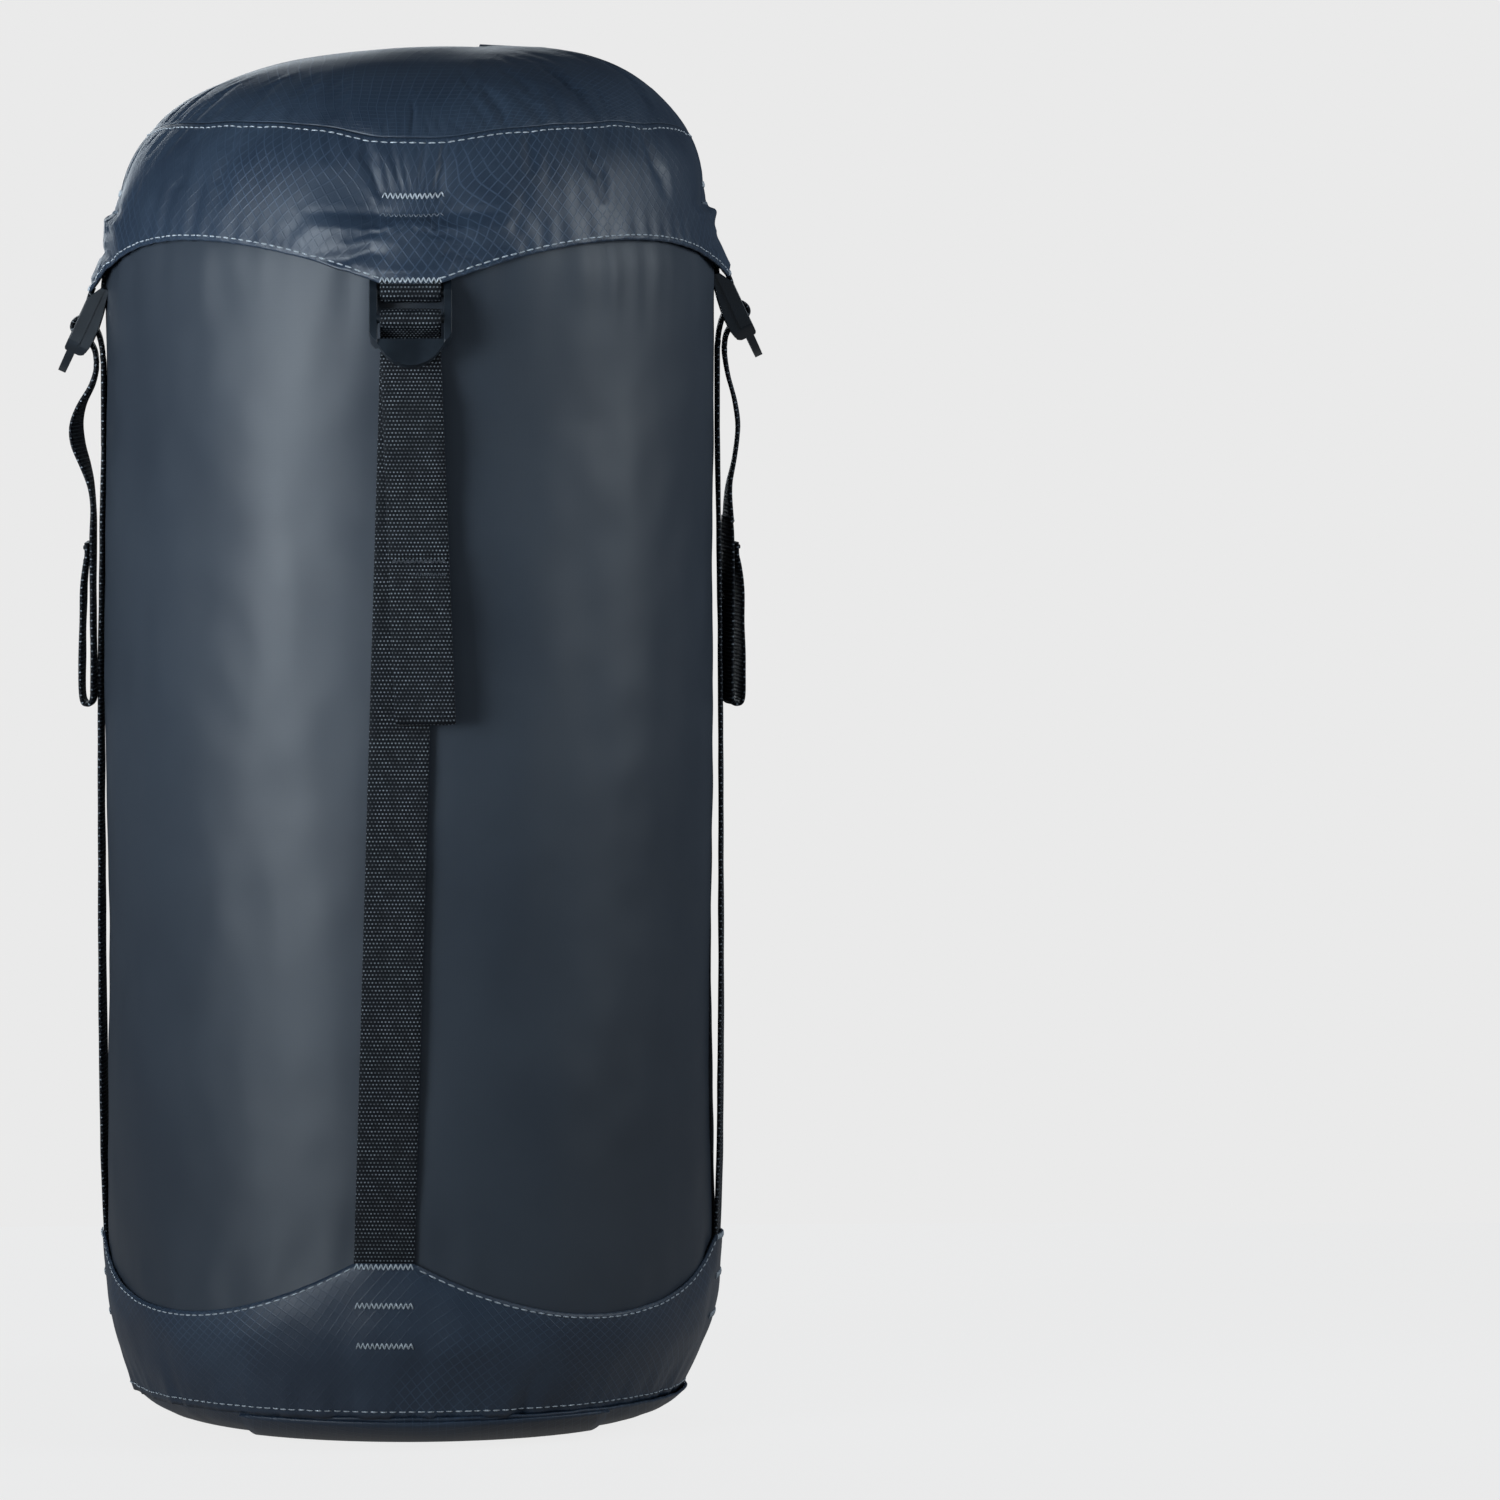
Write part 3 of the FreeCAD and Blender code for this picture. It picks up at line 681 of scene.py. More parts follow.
def gathered(grid):
    """The grid with each tab's cloth drawn together and down at its tacks, and how firmly points are held."""
    start, held = grid.copy(), np.zeros(grid.shape[:2])
    for name in SIDES:
        wide, drop = GATHER[name]
        centre = math.radians(AZIMUTH[name])
        out = np.array([math.cos(centre), math.sin(centre), 0.0])
        side = np.array([-out[1], out[0], 0.0])
        across = grid @ side
        facing_tab = grid @ out > 60
        above = grid[:, :, 2] - TACK_Z[name] - drop
        level = np.clip(np.maximum(-above, above - TACK_APART), 0, None)
        near = bells(level, 0, 7.0) * bells(across, 0, wide * 1.6, 4) * facing_tab
        squeeze = near * (1 - 9.8 / wide)
        start -= (squeeze * across)[:, :, None] * side
        start[:, :, 2] -= near * drop
        start -= (near * 1.2)[:, :, None] * out
        below = TACK_Z[name] - start[:, :, 2]
        fold = bells(below, 3.6, 2.2) * bells(across, 0, 34, 4)
        crease = bells(below, -0.4, 1.6) * bells(np.abs(across), 30, 22)
        tuck = bells(below, 14, 2.6) * bells(np.abs(across), 24, 13)
        start += ((2.3 * fold - 1.0 * tuck - 1.0 * crease) * facing_tab)[:, :, None] * out
        tack = (level < 1.4) & (np.abs(across) < wide) & facing_tab
        held[tack] = 1.0
        held[(grid[:, :, 2] - TAB_Z[name] < 2.2) & (np.abs(across) < 12) & facing_tab] = 1.0
    held[0] = 1.0
    held[1] = np.maximum(held[1], 0.5)
    return start, held


def blurred(values, rows, cols):
    """Values averaged over their neighbours: closed along the columns, open along the rows."""
    for _ in range(cols):
        values = (np.roll(values, 1, 1) + 2 * values + np.roll(values, -1, 1)) / 4
    for _ in range(rows):
        padded = np.concatenate([values[:1], values, values[-1:]])
        values = (padded[:-2] + 2 * values + padded[2:]) / 4
    return values


def filled_between(row, step):
    """A ring of points with the columns that a coarser ring leaves out drawn in on a smooth line."""
    b = row[::step]
    a, c, d = (np.roll(b, shift, 0) for shift in (1, -1, -2))
    full = np.zeros_like(row)
    for k in range(step):
        t = k / step
        full[k::step] = b + 0.5 * t * (c - a + t * (2 * a - 5 * b + 4 * c - d + t * (3 * (b - c) + d - a)))
    return full


CLOTH = {
    "quality": 6, "mass": 0.25, "tension_stiffness": 22, "compression_stiffness": 22, "shear_stiffness": 6,
    "bending_stiffness": 0.22, "air_damping": 3, "use_pressure": True, "uniform_pressure_force": 3.0,
    "vertex_group_mass": "held", "vertex_group_shrink": "drawn_in", "shrink_min": -0.016, "shrink_max": 0.018,
}


def settle_lid(cut, start, held):
    """Runs the lid as cloth over its filling and returns the settled grid."""
    rows, cols = cut.shape[:2]
    steps, index, verts, rest, weights, drawn = [], {}, [], [], [], []
    for i in range(rows):
        middle = cut[i].mean(axis=0)
        radius = np.linalg.norm(cut[i, 0] - middle)
        step = steps[-1] if steps else 1
        if 2 * math.pi * radius / cols * step < 1.3 and step < 32:
            step *= 2
        steps.append(step)
        for j in range(0, cols, step):
            index[i, j] = len(verts)
            verts.append(start[i, j] / SETTLE_MM)
            rest.append(cut[i, j] / SETTLE_MM)
            weights.append(held[i, j])
            drawn.append(bell(i, LID_BAND_ROWS, 1.3))
    faces = []
    for i in range(rows - 1):
        a, b = steps[i], steps[i + 1]
        for j in range(0, cols, b):
            n = (j + b) % cols
            if a == b:
                faces.append([index[i, j], index[i, n], index[i + 1, n], index[i + 1, j]])
            else:
                m = index[i, j + a]
                faces.append([index[i, j], m, index[i + 1, j]])
                faces.append([m, index[i + 1, n], index[i + 1, j]])
                faces.append([m, index[i, n], index[i + 1, n]])
    top = len(verts)
    verts.append(start[-1].mean(axis=0) / SETTLE_MM)
    rest.append(cut[-1].mean(axis=0) / SETTLE_MM)
    weights.append(0.0)
    drawn.append(0.0)
    last = steps[-1]
    for j in range(0, cols, last):
        faces.append([index[rows - 1, j], index[rows - 1, (j + last) % cols], top])

    mesh = bpy.data.meshes.new("lid_settling")
    mesh.from_pydata([tuple(v) for v in verts], [], faces)
    obj = link_object("lid_settling", mesh)
    obj.shape_key_add(name="start")
    pattern = obj.shape_key_add(name="cut")
    pattern.data.foreach_set("co", np.array(rest, float).ravel())
    pins, seam = obj.vertex_groups.new(name="held"), obj.vertex_groups.new(name="drawn_in")
    for k, (w, d) in enumerate(zip(weights, drawn)):
        if w > 0:
            pins.add([k], w, "REPLACE")
        if d > 0.02:
            seam.add([k], d, "REPLACE")
    cloth = obj.modifiers.new("cloth", "CLOTH")
    cloth.settings.rest_shape_key = pattern
    for key, value in CLOTH.items():
        setattr(cloth.settings, key, value)
    cloth.settings.effector_weights.gravity = 0
    cloth.collision_settings.use_collision = False
    cloth.point_cache.frame_start = 1
    cloth.point_cache.frame_end = SETTLE_FRAMES
    for frame_number in range(1, SETTLE_FRAMES + 1):
        bpy.context.scene.frame_set(frame_number)
    settled = obj.evaluated_get(bpy.context.evaluated_depsgraph_get())
    flat = np.zeros(len(verts) * 3)
    settled.data.vertices.foreach_get("co", flat)
    flat = flat.reshape(-1, 3) * SETTLE_MM
    bpy.context.scene.frame_set(1)
    bpy.data.objects.remove(obj)
    bpy.data.meshes.remove(mesh)

    result = np.zeros_like(cut)
    for i in range(rows):
        for j in range(0, cols, steps[i]):
            move = flat[index[i, j]] - start[i, j]
            far = np.linalg.norm(move)
            result[i, j] = start[i, j] + move * min(1.0, LID_MOVE_CAP / max(far, 1e-6))
        if steps[i] > 1:
            result[i] = filled_between(result[i], steps[i])
    return result


def finer(grid, wrap=True):
    """Twice as many rows and columns, through smooth curves."""
    def doubled(values, closed):
        a = np.roll(values, 1, 0) if closed else np.concatenate([values[:1], values[:-1]])
        c = np.roll(values, -1, 0) if closed else np.concatenate([values[1:], values[-1:]])
        d = np.roll(values, -2, 0) if closed else np.concatenate([values[2:], values[-1:], values[-1:]])
        between = (9 * (values + c) - a - d) / 16
        out = np.stack([values, between], 1).reshape(-1, *values.shape[1:])
        return out if closed else out[:-1]

    rows = doubled(grid, False)
    return np.swapaxes(doubled(np.swapaxes(rows, 0, 1), wrap), 0, 1)


def lid_grids():
    """The settled lid as two grids, its band and its crown, which share the seam's row."""
    angles, cut = lid_cut()
    start, held = gathered(cut)
    settled = start
    moved = settle_lid(cut, start, held) - start
    loose = np.clip(1 - 2 * blurred(held[:, :, None], 4, 8), 0, 1)
    settled = start + moved - (1 - LID_SWELL) * loose * blurred(moved, 30, 60)
    fine = finer(settled)
    step = np.append(np.diff(angles), angles[0] + 360 - angles[-1])
    fine_angles = np.stack([angles, angles + step / 2], 1).ravel()
    seam_row = 2 * LID_BAND_ROWS
    return fine_angles, fine[: seam_row + 1], fine[seam_row:]


def make_lid():
    angles, band, crown = lid_grids()
    heights = np.linspace(ARCH_Z, SEAM_Z, len(band))
    cloth = shell("lid_band_cloth", band, ring_uv(angles, heights, 103.0), 0.7)
    finish_piece(cloth, RIPSTOP_BIAS, "lid", "lid_band")
    top = shell("lid_crown_cloth", crown, disc_uv(angles, np.linspace(97.0, 0, len(crown))), 0.7)
    finish_piece(top, RIPSTOP, "lid", "lid_crown")
    return Surface(band, angles)


# ---- base
def cup_radius(theta, z, share):
    """The cup's side: gathered at the base seam, pulled by the strap sewn into each tab."""
    r = profile(CUP_PROFILE, z)
    x, y = on_ring(theta, 100)
    hug = np.clip((z - (cup_edge(theta) - 10)) / 10, 0, 1) * (1 - tab_weight(theta, BASE_TWIST, 7.0))
    r += hug * (profile(TUBE_PROFILE, z) + 0.9 - r) * 0.9
    folds = 0.8 * wobble(x * 1.8, y * 1.8, z * 0.2, 12, 31) + 0.4 * wobble(x * 3, y * 3, z * 0.3, 10, 32)
    r += bell(z, 11, 11) * folds
    r -= 0.5 * bell(abs(nearest_tab(theta, BASE_TWIST)), 7.5, 3) * bell(z, 40, 14)
    return r + (0.45 * (1 - hug) * wobble(x, y, z, 20, 33) + 0.18 * wobble(x, y, z, 8, 34))


def make_base():
    angles = ring_angles(360)
    band = band_grid(angles, lambda t: CUP_START_Z, cup_edge, 26, cup_radius)
    heights = np.linspace(0, 45, len(band))
    cloth = shell("base_band_cloth", band, ring_uv(angles, heights, 101.0), 0.7)
    finish_piece(cloth, RIPSTOP_BIAS, "base", "base_band")

    points = [(93.6, 10.9), (88.4, 6.6), (80.5, 3.2), (72, 1.9), (50, 1.75), (25, 1.72), (3, 1.7)]
    outline = smooth_line(points, 6)[::-1]
    panel = np.zeros((len(outline), len(angles), 3))
    for i, (r, z) in enumerate(outline):
        for j, theta in enumerate(angles):
            x, y = on_ring(theta, r)
            rise = 0.25 * wobble(x * 2, y * 2, 0, 16, 41) * np.clip((r - 76) / 10, 0, 1)
            panel[i, j] = (x, y, z + rise)
    bottom = shell("base_panel_cloth", panel, disc_uv(angles, outline[:, 0]), 0.8)
    finish_piece(bottom, RIPSTOP, "base", "base_panel")
    return Surface(band, angles), outline


def make_handle(outline):
    """The pull handle: a strip from seam to seam under the base, waisted in the middle."""
    reach, columns, rows = 93.2, 40, 90
    grid = np.zeros((rows + 1, columns + 1, 3))
    for i in range(rows + 1):
        share = 2 * i / rows - 1
        half = 50 + 12 * share * share
        for j in range(columns + 1):
            x = 4 + half * (1 - 2 * j / columns)
            y = share * math.sqrt(max(reach**2 - (x * 0.98) ** 2, 1))
            z = profile(outline, math.hypot(x, y)) - 1.2
            grid[i, j] = (x, y, max(z, 0.25))
    strip = shell("pull_handle_cloth", grid, grid[:, :, :2] / UV_SPAN, 0.9, wrap=False)
    finish_piece(strip, RIPSTOP, "base", "bottom_pull_handle")


# ---- webbing
def web_half(t):
    """Half the webbing's thickness at t across it, thinned at the woven edge."""
    return WEB_THICK / 2 * (0.25 + 0.75 * math.sqrt(max(0.0, 1 - abs(2 * t / WEB_WIDTH) ** 10)))


def ribbon(name, path, place, bow=0.35, twist=None, ripple=0.0, seed=0):
    """Webbing along (radius, height) points; place turns (radius, across, height) into the sack's frame."""
    path = np.array(path, float)
    tangent = np.gradient(path, axis=0)
    tangent /= np.linalg.norm(tangent, axis=1, keepdims=True)
    run = run_along(path)
    across = np.concatenate([[-10.0, -9.9, -9.6], np.linspace(-9, 9, 13), [9.6, 9.9, 10.0]]) * WEB_EDGE / 10
    verts, uv = [], []
    for k, (u, z) in enumerate(path):
        out = np.array([-tangent[k][1], tangent[k][0]])
        angle = math.radians(twist[k]) if twist is not None else 0.0
        for side, line in ((1, across), (-1, across[::-1])):
            for t in line:
                lift = side * web_half(t) - bow * (t / 10) ** 2
                lift += ripple * wobble(t, run[k], seed, 14, 51)
                du, dz = out * lift
                verts.append(place(u + du + t * math.sin(angle), t * math.cos(angle), z + dz))
                uv.append((t / UV_SPAN, run[k] / UV_SPAN))
    ring = 2 * len(across)
    faces = []
    for k in range(len(path) - 1):
        for m in range(ring):
            n = (m + 1) % ring
            faces.append([k * ring + m, (k + 1) * ring + m, (k + 1) * ring + n, k * ring + n])
    half = len(across)
    for k, flip in ((0, True), (len(path) - 1, False)):
        for m in range(half - 1):
            quad = [k * ring + m, k * ring + m + 1, k * ring + ring - 2 - m, k * ring + ring - 1 - m]
            faces.append(quad if flip else quad[::-1])
    obj = mesh_object(name, verts, faces, [[uv[q] for q in face] for face in faces])
    bpy.context.view_layer.update()
    return obj


def facing(name, zero=0.0, lean_at=None):
    """Places (radius, across, height) points for one strap; lean_at gives extra degrees by height."""
    def place(u, t, z):
        c, s = on_ring(AZIMUTH[name] + (lean_at(z + zero) if lean_at else 0.0), 1)
        return (u * c - t * s, u * s + t * c, z + zero)
    return place


STRAP_U = 103.65  # the main straps' distance from the sack's middle
STRAP_BOW = {"front": 0.2, "right": 1.3, "back": 0.7, "left": 1.5}
STRAP_TOP_DROP = 21.6
# below the tab's end: where the strap starts and ends its spare length
REACH_LOW, REACH_HIGH = 52.0, 27.0


def strap_lean(name):
    top = TAB_Z[name] - STRAP_TOP_DROP
    return lambda z: BASE_TWIST * float(np.clip((top - z) / (top - CUP_TAB_Z), 0, 1))


def make_strap(name):
    """One main strap: sewn foot, straight run, spare length, and the short rise up to the lock."""
    zero = TAB_Z[name]
    place = facing(name, 0.0, strap_lean(name))
    low, high, top = zero - REACH_LOW, zero - REACH_HIGH, zero - STRAP_TOP_DROP
    bow = STRAP_BOW[name]
    points = [
        (100.0, 40), (102.0, 52), (STRAP_U, 64), (STRAP_U + 0.7 * bow, 95), (STRAP_U + bow, 140),
        (STRAP_U + bow, 200), (STRAP_U + 0.8 * bow, 260), (STRAP_U + 0.3 * bow, 310), (STRAP_U, low),
    ]
    run = even_line(smooth_line(points, 8), 170)
    main = ribbon("strap_" + name + "_web", run, place, ripple=0.12, seed=1)
    finish_piece(main, WEBBING, "base", "strap_" + name)
    anchor = np.array(place(STRAP_U, 0, CUP_TAB_Z)) * MM
    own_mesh(main)

    spare = ribbon("strap_" + name + "_spare", even_line([(STRAP_U, low - 0.2), (STRAP_U, high)], 24), place)
    finish_piece(spare, WEBBING)
    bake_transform(spare)

    lift = smooth_line([(STRAP_U, high - 0.2), (STRAP_U + 0.05, high + 3), (STRAP_U + 0.35, top)], 6)
    rise = ribbon("strap_" + name + "_rise", even_line(lift, 12), place)
    finish_piece(rise, WEBBING)
    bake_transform(rise)


def make_turn(name):
    """Webbing up through the lock, over its middle bar and back down behind the tongue."""
    line = [
        (104.0, -21.8), (104.5, -18.2), (105.6, -14.2), (107.8, -10.6), (110.1, -9.15), (112.3, -9.2),
        (113.9, -10.5), (114.25, -12.3), (113.2, -14.0), (111.2, -15.3), (108.6, -17.0), (106.8, -20.2),
        (106.2, -24.6),
    ]
    turn = ribbon("strap_turn_" + name + "_web", smooth_line(line, 6), facing(name, TAB_Z[name]), bow=0.05)
    finish_piece(turn, WEBBING, "buckle_" + name, "strap_turn_" + name)


LOOP_END_Z, LOOP_SEWN_Z = 243.0, 295.0
TAIL_HINGE_DROP = 24.5
TAIL_BOW = {"front": 0.6, "right": 0.8, "back": 0.7, "left": 0.95}
TAIL_REACH = {"front": 1.0, "right": 1.22, "back": 1.0, "left": 0.88}  # how far down its bow runs
TAIL_IN = {"front": 0.0, "right": 1.1, "back": 0.0, "left": 0.0}  # how much nearer the strap it hangs
TAIL_TWIST = {"front": 0.0, "right": -9.0, "back": 6.0, "left": 2.5}
TAIL_BOW_TWIST = {"front": 0.0, "right": 3.0, "back": 4.0, "left": 11.0}
TAIL_SWAY = {"front": 2.2, "right": 0.0, "back": -0.8, "left": 0.0}


def tail_twist(name, below):
    """How far the tail is turned about its own length at a height below the tab's end (negative)."""
    fall = np.clip((-66 - below) / 22, 0, 1)
    return TAIL_TWIST[name] * fall * fall * (3 - 2 * fall) + TAIL_BOW_TWIST[name] * bells(below, -50, 14)


def turned_clear(turn):
    """How far out a tail hangs so that its turned edge clears the strap behind; turn is in radians."""
    return np.abs(np.sin(turn)) * WEB_EDGE * 0.75


def make_tail(name):
    """The free end: it bows out below the lock and hangs to its folded and sewn pull loop."""
    zero = TAB_Z[name]
    end, sewn, bow = LOOP_END_Z - zero, LOOP_SEWN_Z - zero, TAIL_BOW[name]
    line = [
        (106.2, -24.3), (106.35, -27.5), (106.9 + 0.8 * bow, -33), (107.4 + 3.4 * bow, -40),
        (107.6 + 4.6 * bow, -47), (107.6 + 3.8 * bow, -55), (107.4 + 1.8 * bow, -64),
        (107.4 + 0.4 * bow, -73), (107.4, -82), (107.35, -95), (107.3, -115), (107.25, end + 8),
        (107.35, end + 3), (108.1, end + 0.95), (109.2, end + 0.75), (110.3, end + 1.3), (110.9, end + 3.5),
        (111.1, end + 9), (111.0, end + 22), (110.6, end + 38), (109.7, sewn - 5), (109.0, sewn - 1),
        (108.95, sewn + 3.5),
    ]
    top, bow_end = -28, -75
    for k, (u, z) in enumerate(line):
        u -= TAIL_IN[name] * min(max((top - z) / 30, 0), 1)
        line[k] = (u, top + (z - top) * TAIL_REACH[name] if bow_end < z < top else z)
    path = smooth_line(line, 7)
    twist = tail_twist(name, path[:, 1])
    path[:, 0] += turned_clear(np.radians(twist))
    sway = math.tan(math.radians(TAIL_SWAY[name]))
    base_place = facing(name, zero)

    def place(u, t, z):
        return base_place(u, t + (-TAIL_HINGE_DROP - z) * sway, z)

    tail = ribbon("strap_tail_" + name + "_web", path, place, bow=0.1, twist=twist, ripple=0.25, seed=2)
    finish_piece(tail, WEBBING, node="strap_tail_" + name)
    hinge = zero - TAIL_HINGE_DROP
    start, stop = (0, 0, (hinge + 1) * MM), (0, 0, (hinge - 7) * MM)
    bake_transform(tail)
    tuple(start)
    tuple(stop)

    bars, teeth, half = [], 12, 8.8
    out = np.array(place(1.0, 0, 0)) - np.array(place(0.0, 0, 0))
    for level in (sewn + 2.0, sewn - 2.5):
        turn = math.radians(tail_twist(name, level))
        corners = []
        for k in range(2 * teeth + 1):
            t = -half + half * k / teeth
            z = level + (0.7 if k % 2 else -0.7)
            u = 109.85 - TAIL_IN[name] + turned_clear(turn) + t * math.sin(turn)
            corners.append(np.array(place(u, t * math.cos(turn), z)))
        bars += [(a, b, out) for a, b in zip(corners, corners[1:])]
    stitches("tail_tack_" + name, bars, "tail_" + name, width=0.5, height=0.4, mat=DARK_THREAD)


def make_anchor(name):
    """Webbing from inside the lid tab round the lock's top bar and back up under the tab."""
    zero = TAB_Z[name]
    line = [
        (97.2, 412.0 - zero), (99.0, 404.0 - zero), (102.4, 10.0), (103.7, 3.0), (104.0, -2.0), (104.6, -4.6),
        (106.3, -5.7), (108.0, -4.9), (108.5, -3.2), (108.2, -1.6), (107.6, -0.2), (107.1, 0.9),
    ]
    loop = ribbon("anchor_loop_" + name + "_web", smooth_line(line, 6), facing(name, zero), bow=0.2)
    finish_piece(loop, WEBBING, "lid", "anchor_loop_" + name)


def make_lock(name):
    """The CAD ladder-lock keeps its shape; its edges are rounded and it gets moulded plastic."""
    lock = frame["nodes"]["ladder_lock_" + name]
    bevel = lock.modifiers.new("round_edges", "BEVEL")
    bevel.width = 0.35 * MM
    bevel.segments = 2
    bevel.limit_method = "ANGLE"
    bevel.angle_limit = math.radians(35)
    paint(lock, ACETAL)


# ---- sewn details
def share_of(edge_low, edge_high, z):
    return (z - edge_low) / (edge_high - edge_low)


def lid_stitching(band):
    """Topstitch under the crown seam and along the hem, and three bar tacks on each tab."""
    def at_height(z):
        return lambda t: share_of(lid_edge(t), seam_height(t), z)

    def above_edge(gap):
        return lambda t: gap / (seam_height(t) - lid_edge(t))

    def on_tab(t):
        return abs(nearest_tab(t, 0.0)) < TAB_HALF_ANGLE

    def below_seam(gap):
        return lambda t: 1 - gap / (seam_height(t) - lid_edge(t))

    bars = seam_bars(band, below_seam(1.7), pitch=3.3, radius=95)
    bars += seam_bars(band, above_edge(1.6), pitch=2.9, skip=on_tab)
    stitches("lid_topstitch", bars, "lid")
    tacks, sunk = [], []
    for name in SIDES:
        centre = AZIMUTH[name]
        wide, drop = GATHER[name]
        low = TACK_Z[name] + drop
        for z, width in ((TAB_Z[name] + 0.9, 19.4), (low + TACK_APART, 2 * wide)):
            tacks += zigzag(band, centre, at_height(z), width=width, radius=103)
        sunk += zigzag(band, centre, at_height(low), width=2 * wide, radius=103, tall=1.2, lift=-0.05)
    stitches("lid_bar_tacks", tacks, "lid", width=0.5, height=0.45)
    # the lowest tack row is the same pale thread, painted mid-grey as the shade of the fold it is sunk in
    stitches("lid_sunk_tacks", sunk, "lid", width=0.35, height=0.3, mat=SHADED_THREAD)


def zigzag(surface, centre, level, width=19.4, teeth=12, tall=1.9, radius=104.0, lift=0.2):
    """A bar tack across a tab; level gives the share of the band's height at an angle."""
    half = math.degrees(width / 2 / radius)
    span = tall / 2 / 47.0  # as a share of a band's height
    corners = []
    for k in range(2 * teeth + 1):
        t = centre - half + half * k / teeth
        share = level(t) + (span if k % 2 else -span)
        corners.append((surface.point(t, share, lift), surface.normal(t, share)))
    return [(p, q, n) for (p, n), (q, _) in zip(corners, corners[1:])]


def base_stitching(band):
    """Topstitch along the cup's edge and over the base seam, and three bar tacks on each tab."""
    foot = CUP_START_Z

    def below_edge(gap):
        return lambda t: 1 - gap / (cup_edge(t) - foot)

    def above_foot(gap):
        return lambda t: gap / (cup_edge(t) - foot)

    def on_tab(t):
        return abs(nearest_tab(t, BASE_TWIST)) < TAB_HALF_ANGLE

    bars = seam_bars(band, below_edge(1.4), pitch=3.0, skip=on_tab)
    bars += seam_bars(band, above_foot(2.6), pitch=3.2, radius=96)
    stitches("base_topstitch", bars, "base")
    tacks = []
    for name in SIDES:
        centre = AZIMUTH[name] + BASE_TWIST
        for z in (CUP_TAB_Z - 1.0, 50.0, 36.4):
            level = lambda t, z=z: share_of(foot, cup_edge(t), z)
            tacks += zigzag(band, centre, level, radius=105)
    stitches("base_bar_tacks", tacks, "base", width=0.5, height=0.45)


# ---- mouth closure
def make_mouth():
    """Under the lid: the tube's mouth, gathered into pleats by its drawcord."""
    angles, pleats = ring_angles(240), 26
    points = [
        (98.0, 403.2), (96.0, 409), (88, 418.6), (70, 426), (45, 429.2),
        (24, 430.2), (16, 432), (13.4, 437.5), (12.9, 444),
    ]
    outline = smooth_line(points, 7)
    grid = np.zeros((len(outline), len(angles), 3))
    for i, (r, z) in enumerate(outline):
        for j, theta in enumerate(angles):
            a = math.radians(theta)
            phase = a * pleats + 1.3 * math.sin(3 * a) + 0.6 * math.sin(7 * a + 1)
            deep = 1.6 * np.clip((96 - r) / 50, 0, 1) * np.clip((r - 12) / 10, 0, 1)
            grid[i, j] = (*on_ring(theta, r), z + deep * (math.sin(phase) - 1.0) * 0.9)
    heights = np.linspace(0, 100, len(outline))
    collar = shell("mouth_collar_cloth", grid, ring_uv(angles, heights, 60), 0.5)
    finish_piece(collar, COLLAR, "mouth", "mouth_collar")
    repaint = {
        "drawcord_channel": COLLAR, "drawcord": CORD, "drawcord_knot": CORD, "cordlock_barrel": ACETAL,
        "cordlock_plunger": ACETAL, "cordlock_spring": STEEL,
    }
    for node, mat in repaint.items():
        paint(frame["nodes"][node], mat)


# ---- light and camera
def area_light(name, where, aim, size, power, colour, spread):
    data = bpy.data.lights.new(name, "AREA")
    data.shape, data.size, data.size_y = "RECTANGLE", size[0], size[1]
    data.energy, data.color, data.spread = power, colour, math.radians(spread)
    obj = link_object(name, data)
    obj.location = where
    obj.rotation_euler = (Vector(aim) - Vector(where)).to_track_quat("-Z", "Y").to_euler()


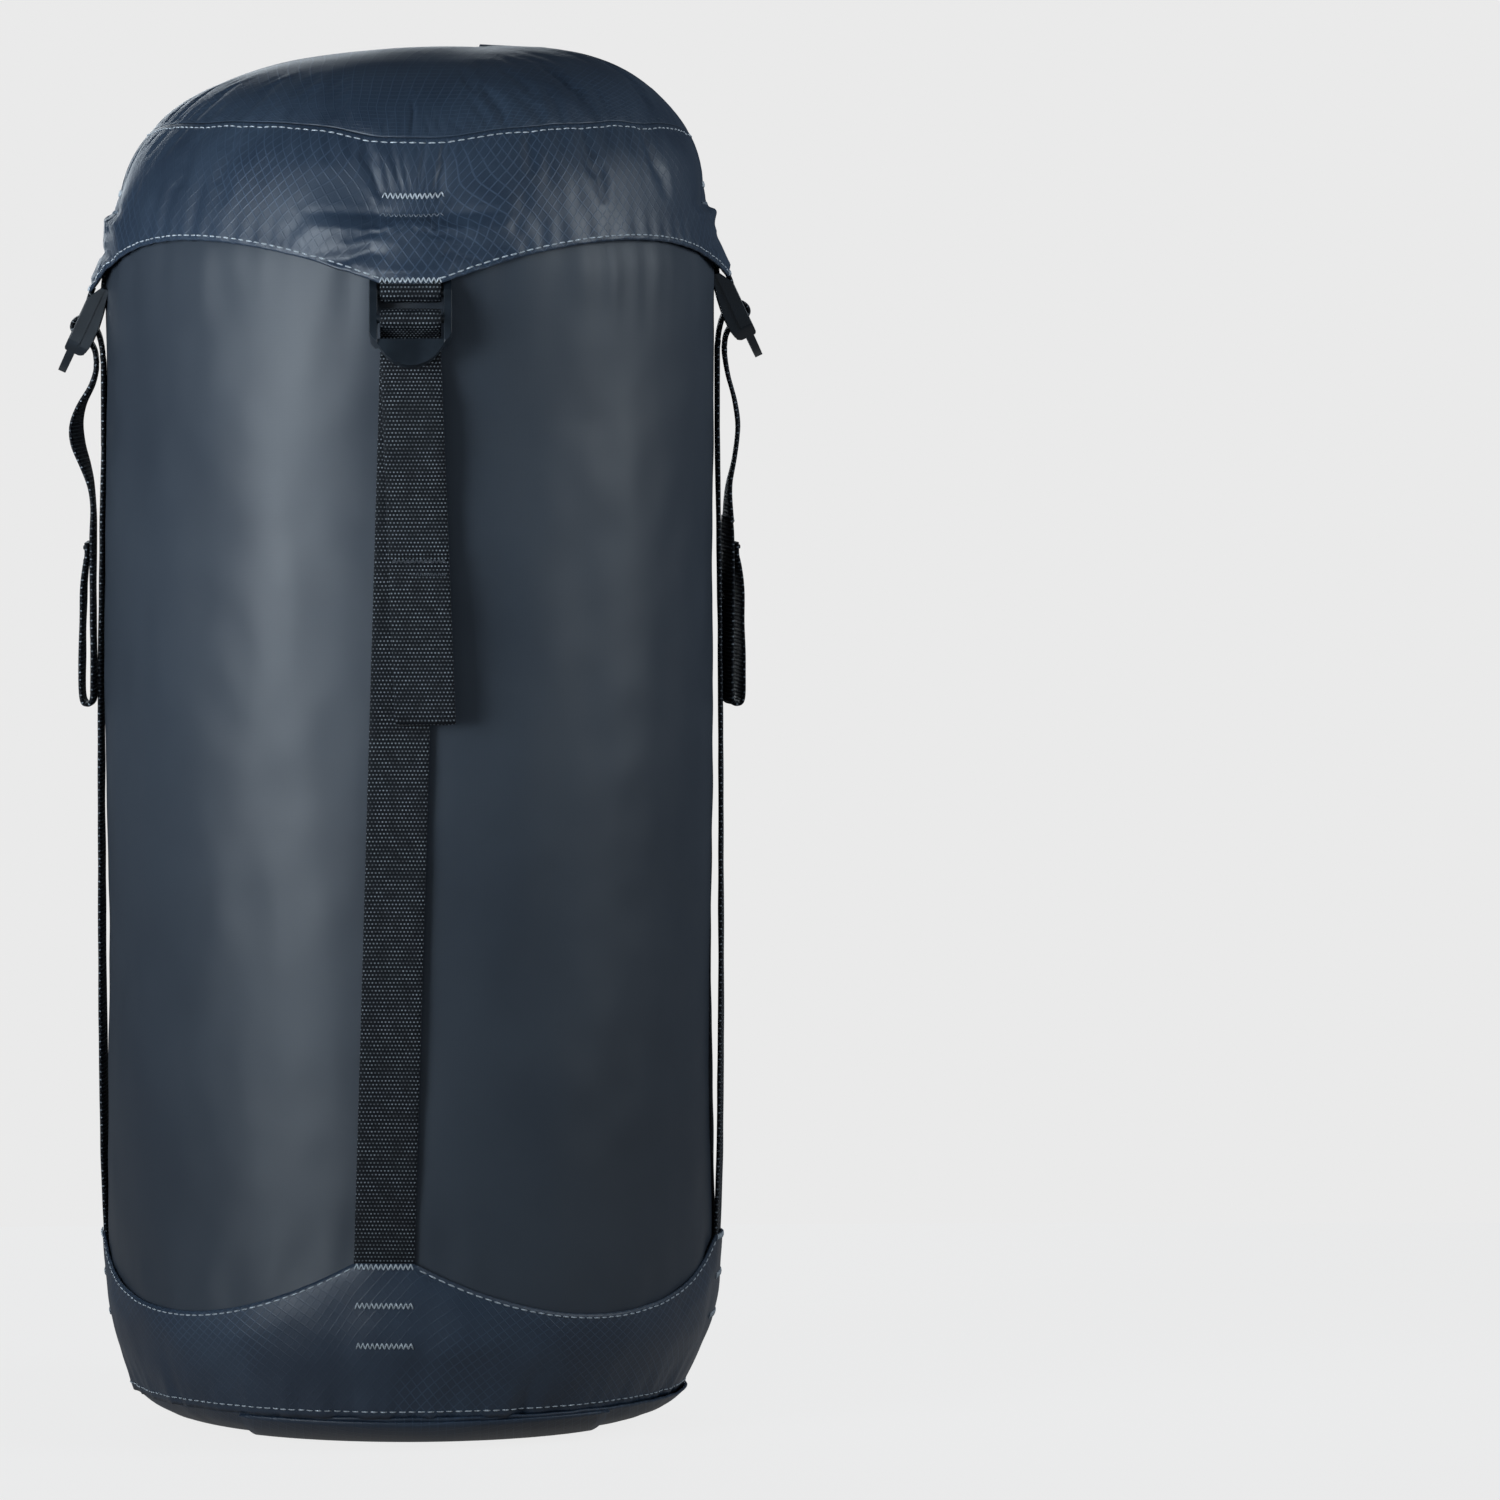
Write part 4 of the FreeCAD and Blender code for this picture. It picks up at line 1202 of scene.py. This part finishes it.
def make_stage():
    world = bpy.data.worlds.new("studio")
    bpy.context.scene.world = world
    world.use_nodes = True
    tree = world.node_tree
    room, backdrop = tree.nodes["Background"], tree.nodes.new("ShaderNodeBackground")
    room.inputs[0].default_value = (0.060, 0.073, 0.090, 1)
    backdrop.inputs[0].default_value = (0.823, 0.823, 0.823, 1)
    seen, mix = tree.nodes.new("ShaderNodeLightPath"), tree.nodes.new("ShaderNodeMixShader")
    tree.links.new(seen.outputs["Is Camera Ray"], mix.inputs[0])
    tree.links.new(room.outputs[0], mix.inputs[1])
    tree.links.new(backdrop.outputs[0], mix.inputs[2])
    tree.links.new(mix.outputs[0], tree.nodes["World Output"].inputs["Surface"])
    cool = (0.84, 0.93, 1.0)
    area_light("key", (-0.55, -0.61, 0.43), (0, 0, 0.40), (0.45, 0.40), 0.80, cool, 60)
    area_light("front", (-0.30, -1.6, 0.50), (0, 0, 0.26), (0.9, 0.6), 0.5, cool, 120)
    area_light("low_left", (-0.85, -0.9, 0.16), (0, 0, 0.06), (0.4, 0.3), 0.42, cool, 60)
    area_light("rim_right", (0.90, -0.25, 0.56), (0, 0, 0.38), (0.40, 0.45), 0.95, cool, 90)
    area_light("back", (-0.3, 1.5, 0.6), (0, 0, 0.30), (0.8, 0.6), 2.5, cool, 120)
    corners = [(-700, -450, -0.2), (700, -450, -0.2), (700, 600, -0.2), (-700, 600, -0.2)]
    floor = mesh_object("floor", corners, [[0, 1, 2, 3]])
    s = Shader("pale_floor")
    ray = s.tree.nodes.new("ShaderNodeLightPath")
    mirrored = s.times(ray.outputs["Is Glossy Ray"], 0.3)
    glow = s.add(ray.outputs["Is Camera Ray"], mirrored)
    grey, pale = (0.10, 0.10, 0.10), (0.80, 0.80, 0.80)
    paint(floor, s.look(grey, 0.9, Specular_IOR_Level=0.0, Emission_Color=pale, Emission_Strength=glow))

    camera_data = bpy.data.cameras.new("camera")
    camera_data.lens, camera_data.sensor_width = 262.0, 36.0
    camera_data.clip_end = 50
    camera = link_object("camera", camera_data)
    camera.location = (0.0, -3.7, 0.47)
    camera.rotation_euler = (math.radians(90 - 3.75), 0, math.radians(-1.78))
    bpy.context.scene.camera = camera
    bpy.context.scene.view_settings.view_transform = "Standard"


make_stage()
make_tube()
lid_surface = make_lid()
cup_surface, base_outline = make_base()
make_handle(base_outline)
for side in SIDES:
    make_strap(side)
    make_turn(side)
    make_tail(side)
    make_anchor(side)
    make_lock(side)
lid_stitching(lid_surface)
base_stitching(cup_surface)
make_mouth()
